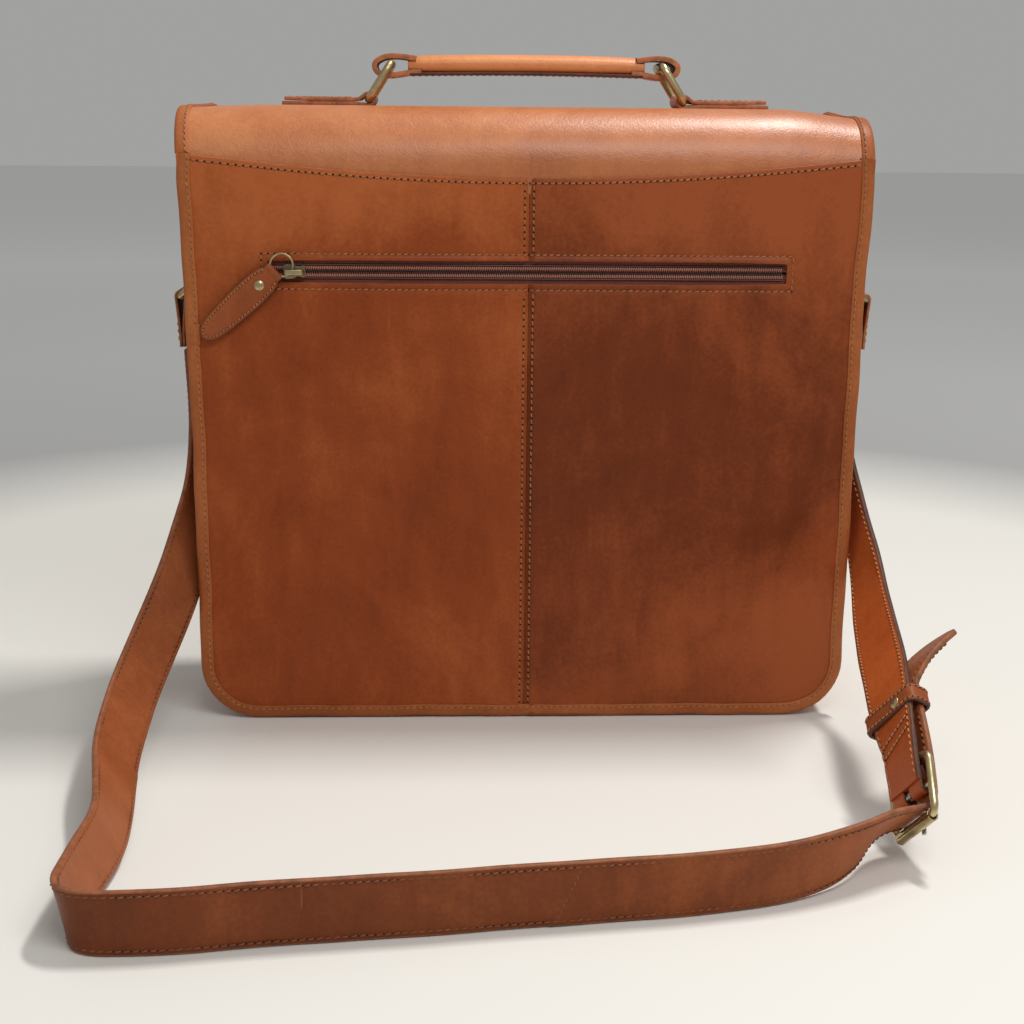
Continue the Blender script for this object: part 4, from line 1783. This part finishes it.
def closure_metal():
    """Prongs of the two closing buckles, and the snaps' caps and sockets."""
    tongues, caps, sockets = Shape(), Shape(), Shape()
    low, high = span("closure_prongs")
    snap_low, snap_high = span("snap_caps")
    socket_low = span("snap_sockets")[0]
    snap_z = (snap_low[2] + snap_high[2]) / 2
    for sign in (-1, 1):
        mid = sign * (high[0] - 1.3)
        route = [(mid, high[1] - 2.6, low[2] + 1.2), (mid, high[1] - 0.9, low[2] + 1.5),
                 (mid, high[1] - 0.7, 140),
                 (mid, high[1] - 0.8, high[2] - 4), (mid, high[1] - 1.2, high[2] - 0.6)]
        line = smooth_line(route, 6)
        along = tangents(line)
        wide = np.broadcast_to([1.0, 0, 0], line.shape)
        tongues.tube(rings_along(circle(1.0, 12) * [1.3, 0.8], line, wide, np.cross(along, wide)))
        dome(caps, np.array([mid, snap_high[1] + 2.5, snap_z]), [0, 1, 0], 6.4, 1.3)
        dome(caps, np.array([mid, snap_low[1] + 1.0, snap_z]), [0, -1, 0], 6.6, 0.9)
        dome(sockets, np.array([mid, socket_low[1] + 1.2, snap_z]), [0, 1, 0], 6.8, 0.9)
    for name, shape, node_name, body in (("closure_prongs_brass", tongues, "closure_prongs", "flap_front"),
                                         ("snap_caps_brass", caps, "snap_caps", "flap_front"),
                                         ("snap_sockets_brass", sockets, "snap_sockets", "body")):
        made = make_piece(name, shape, [BRASS], crease=50)
        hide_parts(node_name)
        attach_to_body(made, body)



# ---------------------------------------------------------------- the whole bag
back_half("left")
back_half("right")
back_seams()
panel_binding("back_binding", "back_binding", BACK_TOP, BACK_FACE, -1)
panel_binding("front_binding", "front_binding", FRONT_TOP, FRONT_FACE, 1)
binding_splice()
for part in ("left", "right", "bottom"):
    gusset(part)
gusset_seams()
front_panel()
front_pocket()
lining()
board_and_divider()
flap()
zip_chain()
zip_slider()
zip_pull()
handle_grip()
for side in (-1, 1):
    handle_ends(side)
    side_ring(side)
    closing_strap(side)
closure_metal()
long_strap()
short_strap(buckle() + keeper())
frame["nodes"]["handle_core"].data.materials.clear()
frame["nodes"]["handle_core"].data.materials.append(FILLER)

# ---------------------------------------------------------------- floor, lights and camera
LENS = 56.25
CAMERA_AT = Vector((-0.047, -0.999, 0.371))
PITCH = math.radians(14.21)
YAW = math.radians(2.35)
ROLL = math.radians(-0.56)
FLOOR_REACH = 9.0


def floor():
    """A plain pale floor that turns grey away from the object."""
    mesh = bpy.data.meshes.new("floor")
    corners = [(-FLOOR_REACH, -FLOOR_REACH, 0), (FLOOR_REACH, -FLOOR_REACH, 0), (FLOOR_REACH, FLOOR_REACH, 0),
               (-FLOOR_REACH, FLOOR_REACH, 0)]
    mesh.from_pydata(corners, [], [(0, 1, 2, 3)])
    material, tree, shader = blank("floor_pale")
    where = coordinates(tree)
    away = node(tree, "ShaderNodeVectorMath", {"operation": "LENGTH"}, Vector=where).outputs["Value"]
    shade = ramp(tree, maths(tree, "DIVIDE", away, 3.0),
                 [(0.205, (0.81, 0.79, 0.74)), (0.290, (0.42, 0.42, 0.42)), (0.5, (0.58, 0.58, 0.58)),
                  (1.0, (0.86, 0.86, 0.86))])
    tree.links.new(shade, shader.inputs["Base Color"])
    shader.inputs["Roughness"].default_value = 0.55
    mesh.materials.append(material)
    made = bpy.data.objects.new("floor", mesh)
    bpy.context.scene.collection.objects.link(made)


def soft_light(name, place, target, size, power, tint=(1.0, 1.0, 1.0)):
    data = bpy.data.lights.new(name, "AREA")
    data.shape = "RECTANGLE"
    data.size, data.size_y = size
    data.energy = power
    data.color = tint
    made = bpy.data.objects.new(name, data)
    made.location = place
    made.rotation_mode = "QUATERNION"
    made.rotation_quaternion = (Vector(target) - Vector(place)).to_track_quat("-Z", "Y")
    bpy.context.scene.collection.objects.link(made)


def world(rgb, strength):
    made = bpy.data.worlds.new("studio")
    made.use_nodes = True
    back = made.node_tree.nodes["Background"]
    back.inputs["Color"].default_value = colour(rgb)
    back.inputs["Strength"].default_value = strength
    bpy.context.scene.world = made
    bpy.context.scene.view_settings.view_transform = "Standard"


def camera():
    """The camera at the photographed angle."""
    forward = Vector((math.sin(YAW) * math.cos(PITCH), math.cos(YAW) * math.cos(PITCH), -math.sin(PITCH)))
    level = Vector((math.cos(YAW), -math.sin(YAW), 0))
    down = forward.cross(level)
    right = math.cos(ROLL) * level + math.sin(ROLL) * down
    low = -math.sin(ROLL) * level + math.cos(ROLL) * down
    data = bpy.data.cameras.new("camera")
    data.lens = LENS
    data.sensor_width = 36.0
    made = bpy.data.objects.new("camera", data)
    turn = Matrix((right, -low, -forward)).transposed()
    made.matrix_world = Matrix.Translation(CAMERA_AT) @ turn.to_4x4()
    bpy.context.scene.collection.objects.link(made)
    bpy.context.scene.camera = made


floor()
world((0.36, 0.36, 0.355), 1.0)
soft_light("overhead", (0.55, 0.24, 2.0), (0, 0, 0.1), (0.45, 0.15), 25, (1.0, 0.985, 0.95))
soft_light("window", (0.24, -0.80, 1.05), (0, -0.05, 0.30), (0.7, 0.35), 5.2)
camera()
